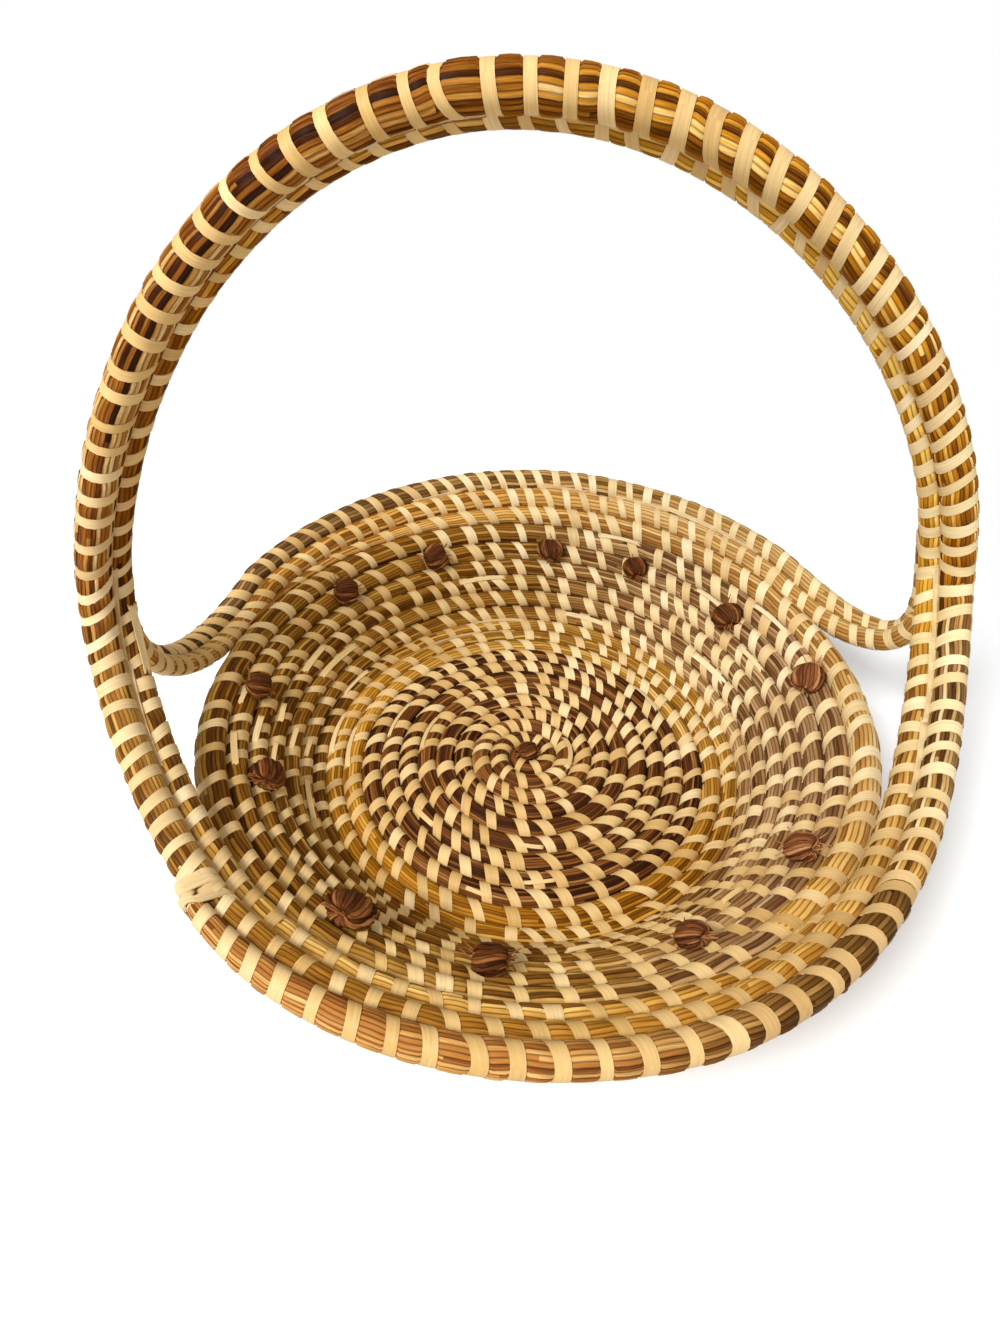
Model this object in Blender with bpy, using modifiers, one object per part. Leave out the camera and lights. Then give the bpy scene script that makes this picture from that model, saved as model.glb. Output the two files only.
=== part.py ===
# Coiled sweetgrass basket with an overhead handle, in metres, +Z up.
# The origin is on the table, under the middle of the round floor; the handle spans along X
# and the low front of the basket faces -Y.
# The body is one long coil of grass that spirals out over the floor and climbs the wall.
import math

import bmesh
import bpy
import numpy as np
from mathutils import Vector

# The coil: distance from one round to the next, on the floor and near the rim
floorPitch = 0.0090
rimPitch = 0.0112
coilGap = 0.0007
buttGap = 0.0003
firstRadius = 0.00975
flatCut = 0.00084
pointsPerTurn = 24
coilResolution = 1
strandResolution = 2

# Where the coil changes its grass, counted in turns from the start of the spiral
needleTurns = (-9 / 24, 8.0)
grassTurns = (8.0, 249 / 24)
wallTurns = (249 / 24, 404 / 24)
shoulderTurns = (404 / 24, 418 / 24)
pitchGrowTurns = (13.5, 16.7)
shoulderTaperTurns = (414 / 24 - 0.02, 418 / 24)
shoulderTipShare = 0.3

# The section of the bowl: a flat floor, a tight corner, then a wall that flares
floorReach = 0.097
cornerReach = 0.014
wallReach = 0.084
sectionStep = 0.0005
cornerSlope = math.radians(62)
wallSlopeShares = ((0.0, 1.0), (0.15, 0.85), (0.29, 0.71), (0.50, 0.63), (0.70, 0.69), (1.0, 0.66))

# The rows on the rim: three in front that run up into the handle, two behind that sag to it
frontRimTurns = (15 / 24, 21 / 24)
backRimTurns = (2 / 24, 10 / 24)
goldenRow = 17
rimRow = 18
edgeRow = 19
frontTaperTurns = (19 / 24, 21 / 24)
edgeShares = ((15.3 / 24, 0.3), (16.6 / 24, 0.8), (21 / 24, 1.0))
edgeStart = 0.35
backEndPitch = 0.0092

# The handle: an arch of two coils, side by side
handleClearance = 0.028
handleSpring = 0.090
handleRise = 0.185
handleLean = -0.012
archEnd = math.radians(73)
archHeightPower = 4 / 3
handleRoll = math.radians(56)
archPoints = 24
legPoints = 12
strandPlace = 11.2
tipPlaces = (12.04, 12.96, 13.04, 13.96, 14.04, 14.96)
outerRadius = 0.0060
innerRadius = 0.0044
strandGap = 0.0005
legDrop = 0.046
legReach = 0.052
strandDrop = 0.062
strandReach = 0.048
leftStrandDip = 0.4
rightStrandDip = 0.2
strandLean = -0.12
strandTurn = math.radians(49)

# Palmetto lashings
stripWidth = 0.0042
stripThickness = 0.0004
stripPitch = 0.0051
stripClearance = 0.00022
lashingTurns = 3
lashingSteps = 12
frontLashingPlace = 0.55
footLashingPlace = 12.5
tipLashingPlace = 14.5

# Knots of brown needles on the wall, and one in the middle of the floor
knotRadius = 0.0072
knotHalfHeight = 0.0044
knotRib = 0.0006
knotSeatGap = 0.00035
knotCores = 12
knotRings = 7
knotPlaces = (
    (16, 2), (15, 29), (15, 57), (15, 80), (15, 111), (15, 137),
    (15, 174), (14, 197), (15, 235), (15, 259), (15, 291), (15, 318),
)
centreKnotShare = 0.86
centreKnotSink = 0.0009

partName = "coiled_sweetgrass_basket"


def clearScene():
    for old in list(bpy.data.objects):
        bpy.data.objects.remove(old, do_unlink=True)


def newCollection(name):
    group = bpy.data.collections.new(name)
    bpy.context.scene.collection.children.link(group)
    return group


def newMaterial(name, colour, roughness):
    material = bpy.data.materials.new(name)
    material.use_nodes = True
    shader = material.node_tree.nodes["Principled BSDF"]
    shader.inputs["Base Color"].default_value = (*colour, 1.0)
    shader.inputs["Roughness"].default_value = roughness
    shader.inputs["Metallic"].default_value = 0.0
    return material


# The spiral: how far out along the section the coil lies after so many turns

def turnPitch(turn):
    share = np.clip((turn - pitchGrowTurns[0]) / (pitchGrowTurns[1] - pitchGrowTurns[0]), 0, 1)
    return floorPitch + (rimPitch - floorPitch) * share * share * (3 - 2 * share)


def arcAt(turn):
    span = pitchGrowTurns[1] - pitchGrowTurns[0]
    share = np.clip((turn - pitchGrowTurns[0]) / span, 0, 1)
    grown = span * (share ** 3 - share ** 4 / 2) + np.maximum(turn - pitchGrowTurns[1], 0)
    return firstRadius + floorPitch * turn + (rimPitch - floorPitch) * grown


def sectionSlope(reach):
    stations = [floorReach, floorReach + cornerReach]
    slopes = [0.0, cornerSlope]
    for share, slopeShare in wallSlopeShares[1:]:
        stations.append(floorReach + cornerReach + share * wallReach)
        slopes.append(cornerSlope * slopeShare)
    return np.interp(reach, stations, slopes)


def sectionTable():
    longest = floorReach + cornerReach + 2 * wallReach
    reach = np.arange(0, longest, sectionStep)
    slope = sectionSlope(reach + sectionStep / 2)
    radius = np.concatenate([[0], np.cumsum(np.cos(slope))[:-1]]) * sectionStep
    height = np.concatenate([[0], np.cumsum(np.sin(slope))[:-1]]) * sectionStep
    return reach, radius, height + floorPitch / 2 - coilGap / 2 - flatCut


sectionReach, sectionRadius, sectionHeight = sectionTable()


def sectionPoint(reach, azimuth):
    radius = np.interp(reach, sectionReach, sectionRadius)
    height = np.interp(reach, sectionReach, sectionHeight)
    return Vector((radius * math.cos(azimuth), radius * math.sin(azimuth), height))


def rowPoint(turn):
    return sectionPoint(arcAt(turn), 2 * math.pi * turn)


def sectionNormal(reach, azimuth):
    slope = float(sectionSlope(reach))
    return Vector((-math.sin(slope) * math.cos(azimuth), -math.sin(slope) * math.sin(azimuth),
                   math.cos(slope)))


def turnSteps(first, last):
    count = round((last - first) * pointsPerTurn)
    return [first + step / pointsPerTurn for step in range(count + 1)]


# A tube along points, each with its own radius

def tube(name, points, radii, material, group, resolution, tilts=None):
    curve = bpy.data.curves.new(name, "CURVE")
    curve.dimensions = "3D"
    curve.twist_mode = "Z_UP" if tilts is not None else "MINIMUM"
    curve.bevel_depth = max(radii)
    curve.bevel_resolution = resolution
    curve.use_fill_caps = True
    spline = curve.splines.new("POLY")
    spline.points.add(len(points) - 1)
    for index, (point, radius) in enumerate(zip(points, radii)):
        spline.points[index].co = (*point, 1.0)
        spline.points[index].radius = radius / max(radii)
        spline.points[index].tilt = tilts[index] if tilts is not None else 0.0
    curve.materials.append(material)
    piece = bpy.data.objects.new(name, curve)
    group.objects.link(piece)
    return piece


def tubeMesh(piece):
    bpy.context.view_layer.update()
    shape = piece.evaluated_get(bpy.context.evaluated_depsgraph_get())
    mesh = bpy.data.meshes.new_from_object(shape)
    body = bmesh.new()
    body.from_mesh(mesh)
    bmesh.ops.remove_doubles(body, verts=body.verts, dist=coilGap / 100)
    body.to_mesh(mesh)
    body.free()
    solid = bpy.data.objects.new(piece.name + "_mesh", mesh)
    solid.matrix_world = piece.matrix_world.copy()
    name = piece.name
    for group in piece.users_collection:
        group.objects.link(solid)
    bpy.data.objects.remove(piece, do_unlink=True)
    solid.name = name
    return solid


def buttPoint(here, beyond):
    # coils meet face to face, halfway along a straight run between two points
    run = beyond - here
    return here + run * 0.5 - run.normalized() * (buttGap / 2)


def shoulderTaper(turn):
    share = np.clip((turn - shoulderTaperTurns[0]) / (shoulderTaperTurns[1] - shoulderTaperTurns[0]), 0, 1)
    return 1 - (1 - shoulderTipShare) * share


def bodyStation(turn):
    # the place, radius and tilt of the body's coil
    thin = float(shoulderTaper(turn))
    pitch = float(turnPitch(turn))
    reach = float(arcAt(turn)) - pitch * (1 - thin) / 2
    return (sectionPoint(reach, 2 * math.pi * turn), (pitch * thin - coilGap) / 2,
            -float(sectionSlope(reach)))


def bodyCoil(name, turns, material, group):
    joined = [turns[0] > needleTurns[0], turns[1] < shoulderTurns[1]]
    steps = turnSteps(turns[0] + joined[0] / pointsPerTurn, turns[1])
    stations = [bodyStation(turn) for turn in steps]
    if joined[0]:
        before = bodyStation(turns[0])
        first = stations[0]
        stations.insert(0, (buttPoint(first[0], before[0]), (first[1] + before[1]) / 2, first[2]))
    if joined[1]:
        after = bodyStation(turns[1] + 1 / pointsPerTurn)
        last = stations[-1]
        stations.append((buttPoint(last[0], after[0]), (last[1] + after[1]) / 2, last[2]))
    points, radii, tilts = (list(column) for column in zip(*stations))
    return tube(name, points, radii, material, group, coilResolution, tilts), points, radii


def cutFlat(piece, cutters):
    # the floor coils are worn flat where they stand
    reach = floorReach + cornerReach + wallReach
    bpy.ops.mesh.primitive_cube_add(size=1)
    block = bpy.context.active_object
    block.name = piece.name + "_floor_cut"
    block.scale = (2 * reach, 2 * reach, floorPitch)
    block.location = (0, 0, -floorPitch / 2)
    bpy.ops.object.transform_apply(location=False, rotation=False, scale=True)
    for old in list(block.users_collection):
        old.objects.unlink(block)
    cutters.objects.link(block)
    block.display_type = "WIRE"
    block.hide_render = True
    cut = piece.modifiers.new("floor", "BOOLEAN")
    cut.operation = "DIFFERENCE"
    cut.solver = "EXACT"
    cut.object = block


# Routes of the rim rows and the handle

def backPitch(turn):
    middle = sum(backRimTurns) / 2
    half = (backRimTurns[1] - backRimTurns[0]) / 2
    share = min(abs(turn - middle) / half, 1.0)
    return rimPitch + (backEndPitch - rimPitch) * share * share


def backReach(turn, row):
    # the back rows rest on the shoulder coil, and come down where it tapers away
    below = float(arcAt(goldenRow + turn)) + rimPitch / 2
    thin = rimPitch * (1 - float(shoulderTaper(goldenRow + turn)))
    return below - thin + backPitch(turn) * (row - goldenRow + 0.5)


def archPoint(angle, inward=0.0, behind=0.0):
    # the arch's outer coil; inward is the way its inner coil lies, rolled to the back, and
    # behind is square to that
    def outer(turned):
        height = handleRise * abs(math.cos(turned)) ** archHeightPower
        lean = handleLean * (height / handleRise) ** 2
        return Vector((handleHalf * math.sin(turned) + lean, 0.0, handleSpring + height))

    small = math.radians(0.5)
    along = (outer(angle + small) - outer(angle - small)).normalized()
    towardsBack = Vector((0, 1, 0))
    across = towardsBack.cross(along).normalized()
    rolled = across * math.cos(handleRoll) + towardsBack * math.sin(handleRoll)
    square = towardsBack * math.cos(handleRoll) - across * math.sin(handleRoll)
    return outer(angle) + rolled * inward + square * behind, along, rolled


handleHalf = float(np.interp(float(arcAt(rimRow - 1)) + rimPitch / 2, sectionReach, sectionRadius))
handleHalf += handleClearance


def bezier(start, startPull, endPull, end, share):
    rest = 1 - share
    return (start * rest ** 3 + startPull * 3 * rest ** 2 * share
            + endPull * 3 * rest * share ** 2 + end * share ** 3)


def ringTangent(azimuth):
    return Vector((-math.sin(azimuth), math.cos(azimuth), 0))


def frontShares(turn):
    # how thick the front rows are: the lowest tapers away on the right, the rim's on the left
    share = np.clip((turn - frontTaperTurns[0]) / (frontTaperTurns[1] - frontTaperTurns[0]), 0, 1)
    turns, shares = zip(*edgeShares)
    return {goldenRow: 1 - (1 - shoulderTipShare) * float(share), rimRow: 1.0,
            edgeRow: float(np.interp(turn, turns, shares))}


def frontStation(turn, row):
    # the place and radius of a front row, each one resting on those below it
    shares = frontShares(turn)
    reach = float(arcAt(goldenRow + turn)) - rimPitch / 2
    reach += rimPitch * (sum(shares[below] for below in shares if below < row) + shares[row] / 2)
    return sectionPoint(reach, 2 * math.pi * turn), (rimPitch * shares[row] - coilGap) / 2


def legRoute(side):
    # from the front rows up to the foot of the arch, as outer points and inward directions
    turn = frontRimTurns[1] if side > 0 else frontRimTurns[0]
    azimuth = 2 * math.pi * turn
    row = edgeRow if side > 0 else rimRow
    start = frontStation(turn, row)[0]
    below = (frontStation(turn, row - 1)[0] - start).normalized()
    end, along, inward = archPoint(side * archEnd)
    startPull = start + ringTangent(azimuth) * side * legReach
    endPull = end + along * side * legDrop
    points = []
    inwards = []
    for step in range(legPoints + 1):
        share = step / legPoints
        points.append(bezier(start, startPull, endPull, end, share))
        inwards.append(below * (1 - share) + inward * share)
    return points, inwards


def squared(points, directions):
    # the directions, turned square to the run of the points
    result = []
    for index, direction in enumerate(directions):
        run = points[min(index + 1, len(points) - 1)] - points[max(index - 1, 0)]
        run.normalize()
        result.append((direction - run * direction.dot(run)).normalized())
    return result


def handleRoute():
    left, leftIn = legRoute(-1)
    right, rightIn = legRoute(1)
    points = list(left)
    inwards = list(leftIn)
    for step in range(1, archPoints):
        angle = archEnd * (2 * step / archPoints - 1)
        point, along, inward = archPoint(angle)
        points.append(point)
        inwards.append(inward)
    points += reversed(right)
    inwards += reversed(rightIn)
    return points, squared(points, inwards)


def handleShare(index, count):
    # 0 on the rim, 1 on the arch
    near = min(index, count - 1 - index)
    return min(near / legPoints, 1.0)


def handleCoils():
    points, inwards = handleRoute()
    count = len(points)
    rimRadius = (rimPitch - coilGap) / 2
    outerRadii = []
    innerPoints = []
    innerRadii = []
    for index, (point, inward) in enumerate(zip(points, inwards)):
        share = handleShare(index, count)
        thick = rimRadius + (outerRadius - rimRadius) * share
        thin = rimRadius + (innerRadius - rimRadius) * share
        gap = coilGap + (strandGap - coilGap) * share
        outerRadii.append(thick)
        innerRadii.append(thin)
        innerPoints.append(point + inward * (thick + thin + gap))
    return (*footed(points, outerRadii, rimRow), *footed(innerPoints, innerRadii, goldenRow))


def footed(points, radii, row):
    # the coil's feet, drawn out to where the front row that it runs into ends
    turns = turnSteps(*frontRimTurns)
    first = buttPoint(points[0], frontStation(turns[1], row)[0])
    last = buttPoint(points[-1], frontStation(turns[-2], row + 1)[0])
    return [first, *points, last], [radii[0], *radii, radii[-1]]


def strandSeat(place):
    # the back strand against the handle's inner coil: how far inward and how far behind it lies
    share = min(place / legPoints, 1.0)
    rimRadius = (rimPitch - coilGap) / 2
    thick = rimRadius + (outerRadius - rimRadius) * share
    slim = rimRadius + (innerRadius - rimRadius) * share
    gap = coilGap + (strandGap - coilGap) * share
    thin = (backEndPitch - coilGap) / 2
    reach = slim + thin + strandGap
    return thick + slim + gap + reach * math.cos(strandTurn), reach * math.sin(strandTurn), thin


def strandFrame(side, place):
    # where the back strand's middle lies, so many points along the handle from its foot
    route, inwards = handleRoute()
    frame = routeFrame(route, inwards, place if side < 0 else len(route) - 1 - place)
    origin, along, inward, behind = frame(0.0)
    inwardSeat, behindSeat, thin = strandSeat(place)
    return origin + inward * inwardSeat + behind * math.copysign(behindSeat, behind.y), along


def backStrand(side):
    # from the back rim row, sagging, to the back of the handle's inner coil and up along it
    turn = backRimTurns[0] if side > 0 else backRimTurns[1]
    azimuth = 2 * math.pi * turn
    start = sectionPoint(backReach(turn, rimRow), azimuth)
    below = (sectionPoint(backReach(turn, goldenRow), azimuth) - start).normalized()
    end, along = strandFrame(side, strandPlace)
    leave = ringTangent(azimuth) * -side - Vector((0, 0, rightStrandDip if side > 0 else leftStrandDip))
    startPull = start + leave * strandReach
    endPull = end + (along * side + Vector((0, strandLean, 0))) * strandDrop
    points = [bezier(start, startPull, endPull, end, step / legPoints) for step in range(legPoints + 1)]
    tips = [strandFrame(side, place)[0] for place in tipPlaces]
    return points, below, tips


def goldenStrand(points, below, handle):
    # the strand under the back rim's, which leans towards the handle and ends against it
    thin = (backEndPitch - coilGap) / 2
    beside = alongRun(*handle[1])[0]
    leans = []
    for step, point in enumerate(points):
        share = step / legPoints
        nearest = min(beside, key=lambda place: (place - point).length)
        leans.append(below * (1 - share) + (nearest - point).normalized() * share)
    leans = squared(points, leans)

    def room(place):
        return min(leastGap([place], [thin], *coil) for coil in handle)

    run = []
    for step, (point, lean) in enumerate(zip(points, leans)):
        place = point + lean * (backEndPitch + strandGap * step / legPoints)
        if room(place) < strandGap:
            low, high = 0.0, 1.0
            for halving in range(12):
                middle = (low + high) / 2
                if room(run[-1].lerp(place, middle)) < strandGap:
                    high = middle
                else:
                    low = middle
            run.append(run[-1].lerp(place, low))
            break
        run.append(place)
    return run


def backCoils(handle):
    thin = (backEndPitch - coilGap) / 2
    rightRun, rightBelow, rightTip = backStrand(1)
    leftRun, leftBelow, leftTip = backStrand(-1)
    upper = list(reversed(rightRun + rightTip))
    lower = list(reversed(goldenStrand(rightRun, rightBelow, handle)))
    upperRadii = [thin] * len(upper)
    lowerRadii = [thin] * len(lower)
    for turn in turnSteps(*backRimTurns)[1:-1]:
        azimuth = 2 * math.pi * turn
        upper.append(sectionPoint(backReach(turn, rimRow), azimuth))
        lower.append(sectionPoint(backReach(turn, goldenRow), azimuth))
        upperRadii.append((backPitch(turn) - coilGap) / 2)
        lowerRadii.append((backPitch(turn) - coilGap) / 2)
    upper += leftRun + leftTip
    lower += goldenStrand(leftRun, leftBelow, handle)
    upperRadii += [thin] * (len(upper) - len(upperRadii))
    lowerRadii += [thin] * (len(lower) - len(lowerRadii))
    return upper, upperRadii, lower, lowerRadii


def frontCoil(row):
    # a front row: one that the handle's coil runs on from stops short of it
    stations = [frontStation(turn, row) for turn in turnSteps(*frontRimTurns)]
    points, radii = (list(column) for column in zip(*stations))
    if row < edgeRow:
        points[0] = buttPoint(points[1], points[0])
    else:
        points[0] = points[0].lerp(points[1], edgeStart)
    if row > goldenRow:
        points[-1] = buttPoint(points[-2], points[-1])
    return points, radii


# A lashing: a strip of palmetto leaf wound round the coils that it binds

def supportSide(circles, angle):
    reaches = [across * math.cos(angle) + behind * math.sin(angle) + radius
               for across, behind, radius in circles]
    return reaches.index(max(reaches))


def hullLoop(circles, turns, steps):
    # (share of the winding, across, behind) round the coils, also where it leaves one for the next
    loop = []
    total = turns * steps
    for index in range(total + 1):
        angle = 2 * math.pi * index / steps
        side = supportSide(circles, angle)
        if loop and side != loop[-1][2]:
            low = 2 * math.pi * (index - 1) / steps
            high = angle
            for halving in range(24):
                middle = (low + high) / 2
                if supportSide(circles, middle) == loop[-1][2]:
                    low = middle
                else:
                    high = middle
            loop.append((index - 0.6, low, loop[-1][2]))
            loop.append((index - 0.4, high, side))
        loop.append((index, angle, side))
    result = []
    for index, angle, side in loop:
        across, behind, radius = circles[side]
        reach = radius + stripClearance
        result.append((index / total, across + reach * math.cos(angle), behind + reach * math.sin(angle)))
    return result


def lashing(name, frame, circles, material, group):
    # frame(distance) gives a point on the coils, their run, and the two directions across them
    body = bmesh.new()
    edges = []
    for share, across, behind in hullLoop(circles, lashingTurns, lashingSteps):
        ends = []
        for side in (-1, 1):
            distance = stripPitch * lashingTurns * (share - 0.5) + side * stripWidth / 2
            origin, along, sideways, back = frame(distance)
            ends.append(body.verts.new(origin + sideways * across + back * behind))
        edges.append(ends)
    for near, far in zip(edges[:-1], edges[1:]):
        body.faces.new((near[0], near[1], far[1], far[0]))
    centre = frame(0.0)[0]
    middle = sum((frame(0.0)[2] * across + frame(0.0)[3] * behind for across, behind, radius in circles),
                 Vector()) / len(circles)
    body.normal_update()
    first = body.faces[:][0]
    if first.normal.dot(first.calc_center_median() - centre - middle) < 0:
        bmesh.ops.reverse_faces(body, faces=body.faces[:])
    mesh = bpy.data.meshes.new(name)
    body.to_mesh(mesh)
    body.free()
    mesh.materials.append(material)
    piece = bpy.data.objects.new(name, mesh)
    group.objects.link(piece)
    shell = piece.modifiers.new("thickness", "SOLIDIFY")
    shell.thickness = stripThickness
    shell.offset = 1.0
    shell.use_even_offset = True
    return piece


def routeFrame(points, inwards, place):
    # the frame of a lashing on a route of points, so far along from a place counted in points
    def frame(distance):
        index = math.floor(place)
        rest = distance + (place - index) * (points[index + 1] - points[index]).length
        while rest > (points[index + 1] - points[index]).length and index < len(points) - 2:
            rest -= (points[index + 1] - points[index]).length
            index += 1
        while rest < 0 and index > 0:
            index -= 1
            rest += (points[index + 1] - points[index]).length
        run = points[index + 1] - points[index]
        share = rest / run.length
        inward = inwards[index].lerp(inwards[index + 1], share)
        along = run.normalized()
        inward = (inward - along * inward.dot(along)).normalized()
        return points[index].lerp(points[index + 1], share), along, inward, along.cross(inward)

    return frame


# A knot: a ribbed button of brown needles

def knot(name, seat, normal, share, material, group):
    body = bmesh.new()
    bmesh.ops.create_uvsphere(body, u_segments=knotCores, v_segments=knotRings, radius=1.0)
    for vertex in body.verts:
        around = math.atan2(vertex.co.y, vertex.co.x)
        rib = 1 + knotRib / knotRadius * math.cos(around * knotCores / 2)
        vertex.co.x *= knotRadius * share * rib
        vertex.co.y *= knotRadius * share * rib
        vertex.co.z *= knotHalfHeight * share
    mesh = bpy.data.meshes.new(name)
    body.to_mesh(mesh)
    body.free()
    mesh.shade_smooth()
    mesh.materials.append(material)
    piece = bpy.data.objects.new(name, mesh)
    group.objects.link(piece)
    piece.rotation_mode = "QUATERNION"
    piece.rotation_quaternion = normal.to_track_quat("Z", "Y")
    piece.location = seat + normal * knotHalfHeight * share
    return piece


def coilTop(radius):
    # how far a six-sided coil's flat stands from its middle
    return radius * math.cos(math.pi / 6)


def wallKnotSeat(row, azimuth):
    turn = row + azimuth / (2 * math.pi)
    first = math.floor(turn * pointsPerTurn) / pointsPerTurn
    share = (turn - first) * pointsPerTurn
    point = rowPoint(first).lerp(rowPoint(first + 1 / pointsPerTurn), share)
    normal = sectionNormal(float(arcAt(turn)), azimuth)
    radius = (float(turnPitch(turn)) - coilGap) / 2
    return point + normal * (coilTop(radius) + knotSeatGap), normal


def alongRun(points, radii):
    # places and sizes taken along a run of points
    places = []
    sizes = []
    for index in range(len(points) - 1):
        for step in range(4):
            places.append(points[index].lerp(points[index + 1], step / 4))
            sizes.append(radii[index] + (radii[index + 1] - radii[index]) * step / 4)
    places.append(points[-1])
    sizes.append(radii[-1])
    return places, sizes


def leastGap(pointsA, radiiA, pointsB, radiiB, skip=0):
    # least gap between two tubes, measured on points taken along each run
    placesA, sizesA = (np.array(column) for column in alongRun(pointsA, radiiA))
    placesB, sizesB = (np.array(column) for column in alongRun(pointsB, radiiB))
    apart = np.linalg.norm(placesA[:, None, :] - placesB[None, :, :], axis=2)
    gaps = apart - sizesA[:, None] - sizesB[None, :]
    if skip:
        numbers = np.arange(len(placesA))
        gaps[np.abs(numbers[:, None] - numbers[None, :]) < skip * 4] = np.inf
    return float(gaps.min())


def build():
    clearScene()
    parts = newCollection(partName)
    cutters = newCollection("cutters")
    needles = newMaterial("dark longleaf pine needles", (0.10, 0.045, 0.02), 0.65)
    grass = newMaterial("golden sweetgrass", (0.50, 0.27, 0.07), 0.55)
    bulrush = newMaterial("brown bulrush", (0.22, 0.12, 0.055), 0.65)
    rimBrown = newMaterial("reddish brown rim needles", (0.26, 0.11, 0.045), 0.6)
    amber = newMaterial("amber handle grass", (0.38, 0.17, 0.04), 0.5)
    palmetto = newMaterial("palmetto strip", (0.72, 0.57, 0.33), 0.55)

    # the spiral, in the lengths of grass that it is coiled from
    coils = {}
    for name, turns, material in (
        ("base_coil_dark", needleTurns, needles),
        ("base_coil_golden", grassTurns, grass),
        ("wall_coil_brown", wallTurns, bulrush),
        ("shoulder_coil_golden", shoulderTurns, grass),
    ):
        piece, points, radii = bodyCoil(name, turns, material, parts)
        coils[name] = (points, radii)
        if turns[0] < goldenRow - 1 and float(arcAt(turns[0])) < floorReach:
            cutFlat(tubeMesh(piece), cutters)

    # the rim rows and the handle
    outer, outerRadii, inner, innerRadii = handleCoils()
    handle = ((outer, outerRadii), (inner, innerRadii))
    upper, upperRadii, lower, lowerRadii = backCoils(handle)
    coils["front_golden_coil"] = frontCoil(goldenRow)
    coils["front_upper_golden_coil"] = frontCoil(rimRow)
    coils["front_rim_coil"] = frontCoil(edgeRow)
    coils["back_golden_coil"] = (lower, lowerRadii)
    coils["back_rim_coil"] = (upper, upperRadii)
    coils["handle_outer_coil"] = (outer, outerRadii)
    coils["handle_inner_coil"] = (inner, innerRadii)
    for name, material in (
        ("front_golden_coil", grass), ("front_upper_golden_coil", grass), ("front_rim_coil", rimBrown),
        ("back_golden_coil", grass), ("back_rim_coil", bulrush),
        ("handle_outer_coil", amber), ("handle_inner_coil", grass),
    ):
        tube(name, *coils[name], material, parts, strandResolution)

    # the lashings of the back strands to the handle's inner coil, where they meet it and at
    # their tips, and the one that ties down the start of the front rim
    route, inwards = handleRoute()
    last = len(route) - 1
    for name, side, place in (
        ("left_handle_lashing", -1, footLashingPlace), ("right_handle_lashing", 1, footLashingPlace),
        ("left_tip_lashing", -1, tipLashingPlace), ("right_tip_lashing", 1, tipLashingPlace),
    ):
        frame = routeFrame(route, inwards, place if side < 0 else last - place)
        inwardSeat, behindSeat, thin = strandSeat(place)
        behind = math.copysign(behindSeat, frame(0.0)[3].y)
        slim = np.interp(place + 1, range(len(innerRadii)), innerRadii)
        thick = np.interp(place + 1, range(len(outerRadii)), outerRadii)
        circles = ((thick + slim + strandGap, 0.0, slim), (inwardSeat, behind, thin))
        lashing(name, frame, circles, palmetto, parts)
    pair, pairRadii = coils["front_upper_golden_coil"]
    edge, edgeRadii = coils["front_rim_coil"]
    frame = routeFrame(pair, [there - here for here, there in zip(pair, edge)], frontLashingPlace)
    wide = np.interp(frontLashingPlace + 1 / 2, range(len(edgeRadii)), edgeRadii)
    circles = ((0.0, 0.0, pairRadii[0]), (pairRadii[0] + coilGap + wide, 0.0, wide))
    lashing("left_front_lashing", frame, circles, palmetto, parts)

    # the knots
    for number, (row, degrees) in enumerate(knotPlaces):
        place, normal = wallKnotSeat(row, math.radians(degrees))
        knot(f"wall_knot_{number + 1:02d}", place, normal, 1.0, needles, parts)
    top = sectionHeight[0] + coilTop((floorPitch - coilGap) / 2) - centreKnotSink
    knot("centre_knot", Vector((0, 0, top)), Vector((0, 0, 1)), centreKnotShare, needles, parts)

    # the gaps between the turns and between the strands
    body = [coils[name] for name in
            ("base_coil_dark", "base_coil_golden", "wall_coil_brown", "shoulder_coil_golden")]
    spiral = [point for points, radii in body for point in points]
    spiralRadii = [radius for points, radii in body for radius in radii]
    own = leastGap(spiral, spiralRadii, spiral, spiralRadii, pointsPerTurn // 2)
    print(f"body coil, least gap to itself: {own * 1000:.2f} mm")
    for name, (points, radii) in coils.items():
        if "base" in name or "wall" in name or "shoulder" in name:
            continue
        other = leastGap(points, radii, spiral, spiralRadii)
        print(f"{name}, least gap to the body coil: {other * 1000:.2f} mm")
    for near, far in (
        ("handle_outer_coil", "handle_inner_coil"), ("handle_inner_coil", "back_rim_coil"),
        ("handle_outer_coil", "back_rim_coil"), ("handle_inner_coil", "back_golden_coil"),
        ("back_rim_coil", "back_golden_coil"), ("front_upper_golden_coil", "front_golden_coil"),
        ("handle_outer_coil", "back_golden_coil"), ("front_rim_coil", "front_upper_golden_coil"),
    ):
        print(f"{near} to {far}: {leastGap(*coils[near], *coils[far]) * 1000:.2f} mm")


build()
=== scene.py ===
# Looks of the coiled sweetgrass basket: grass bundles, palmetto stitches, needle knots, floor,
# light and camera. Metres, +Z up; the handle spans X and the low front faces -Y.
import math

import bpy
import bmesh
import numpy as np
from mathutils import Matrix, Vector


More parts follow.
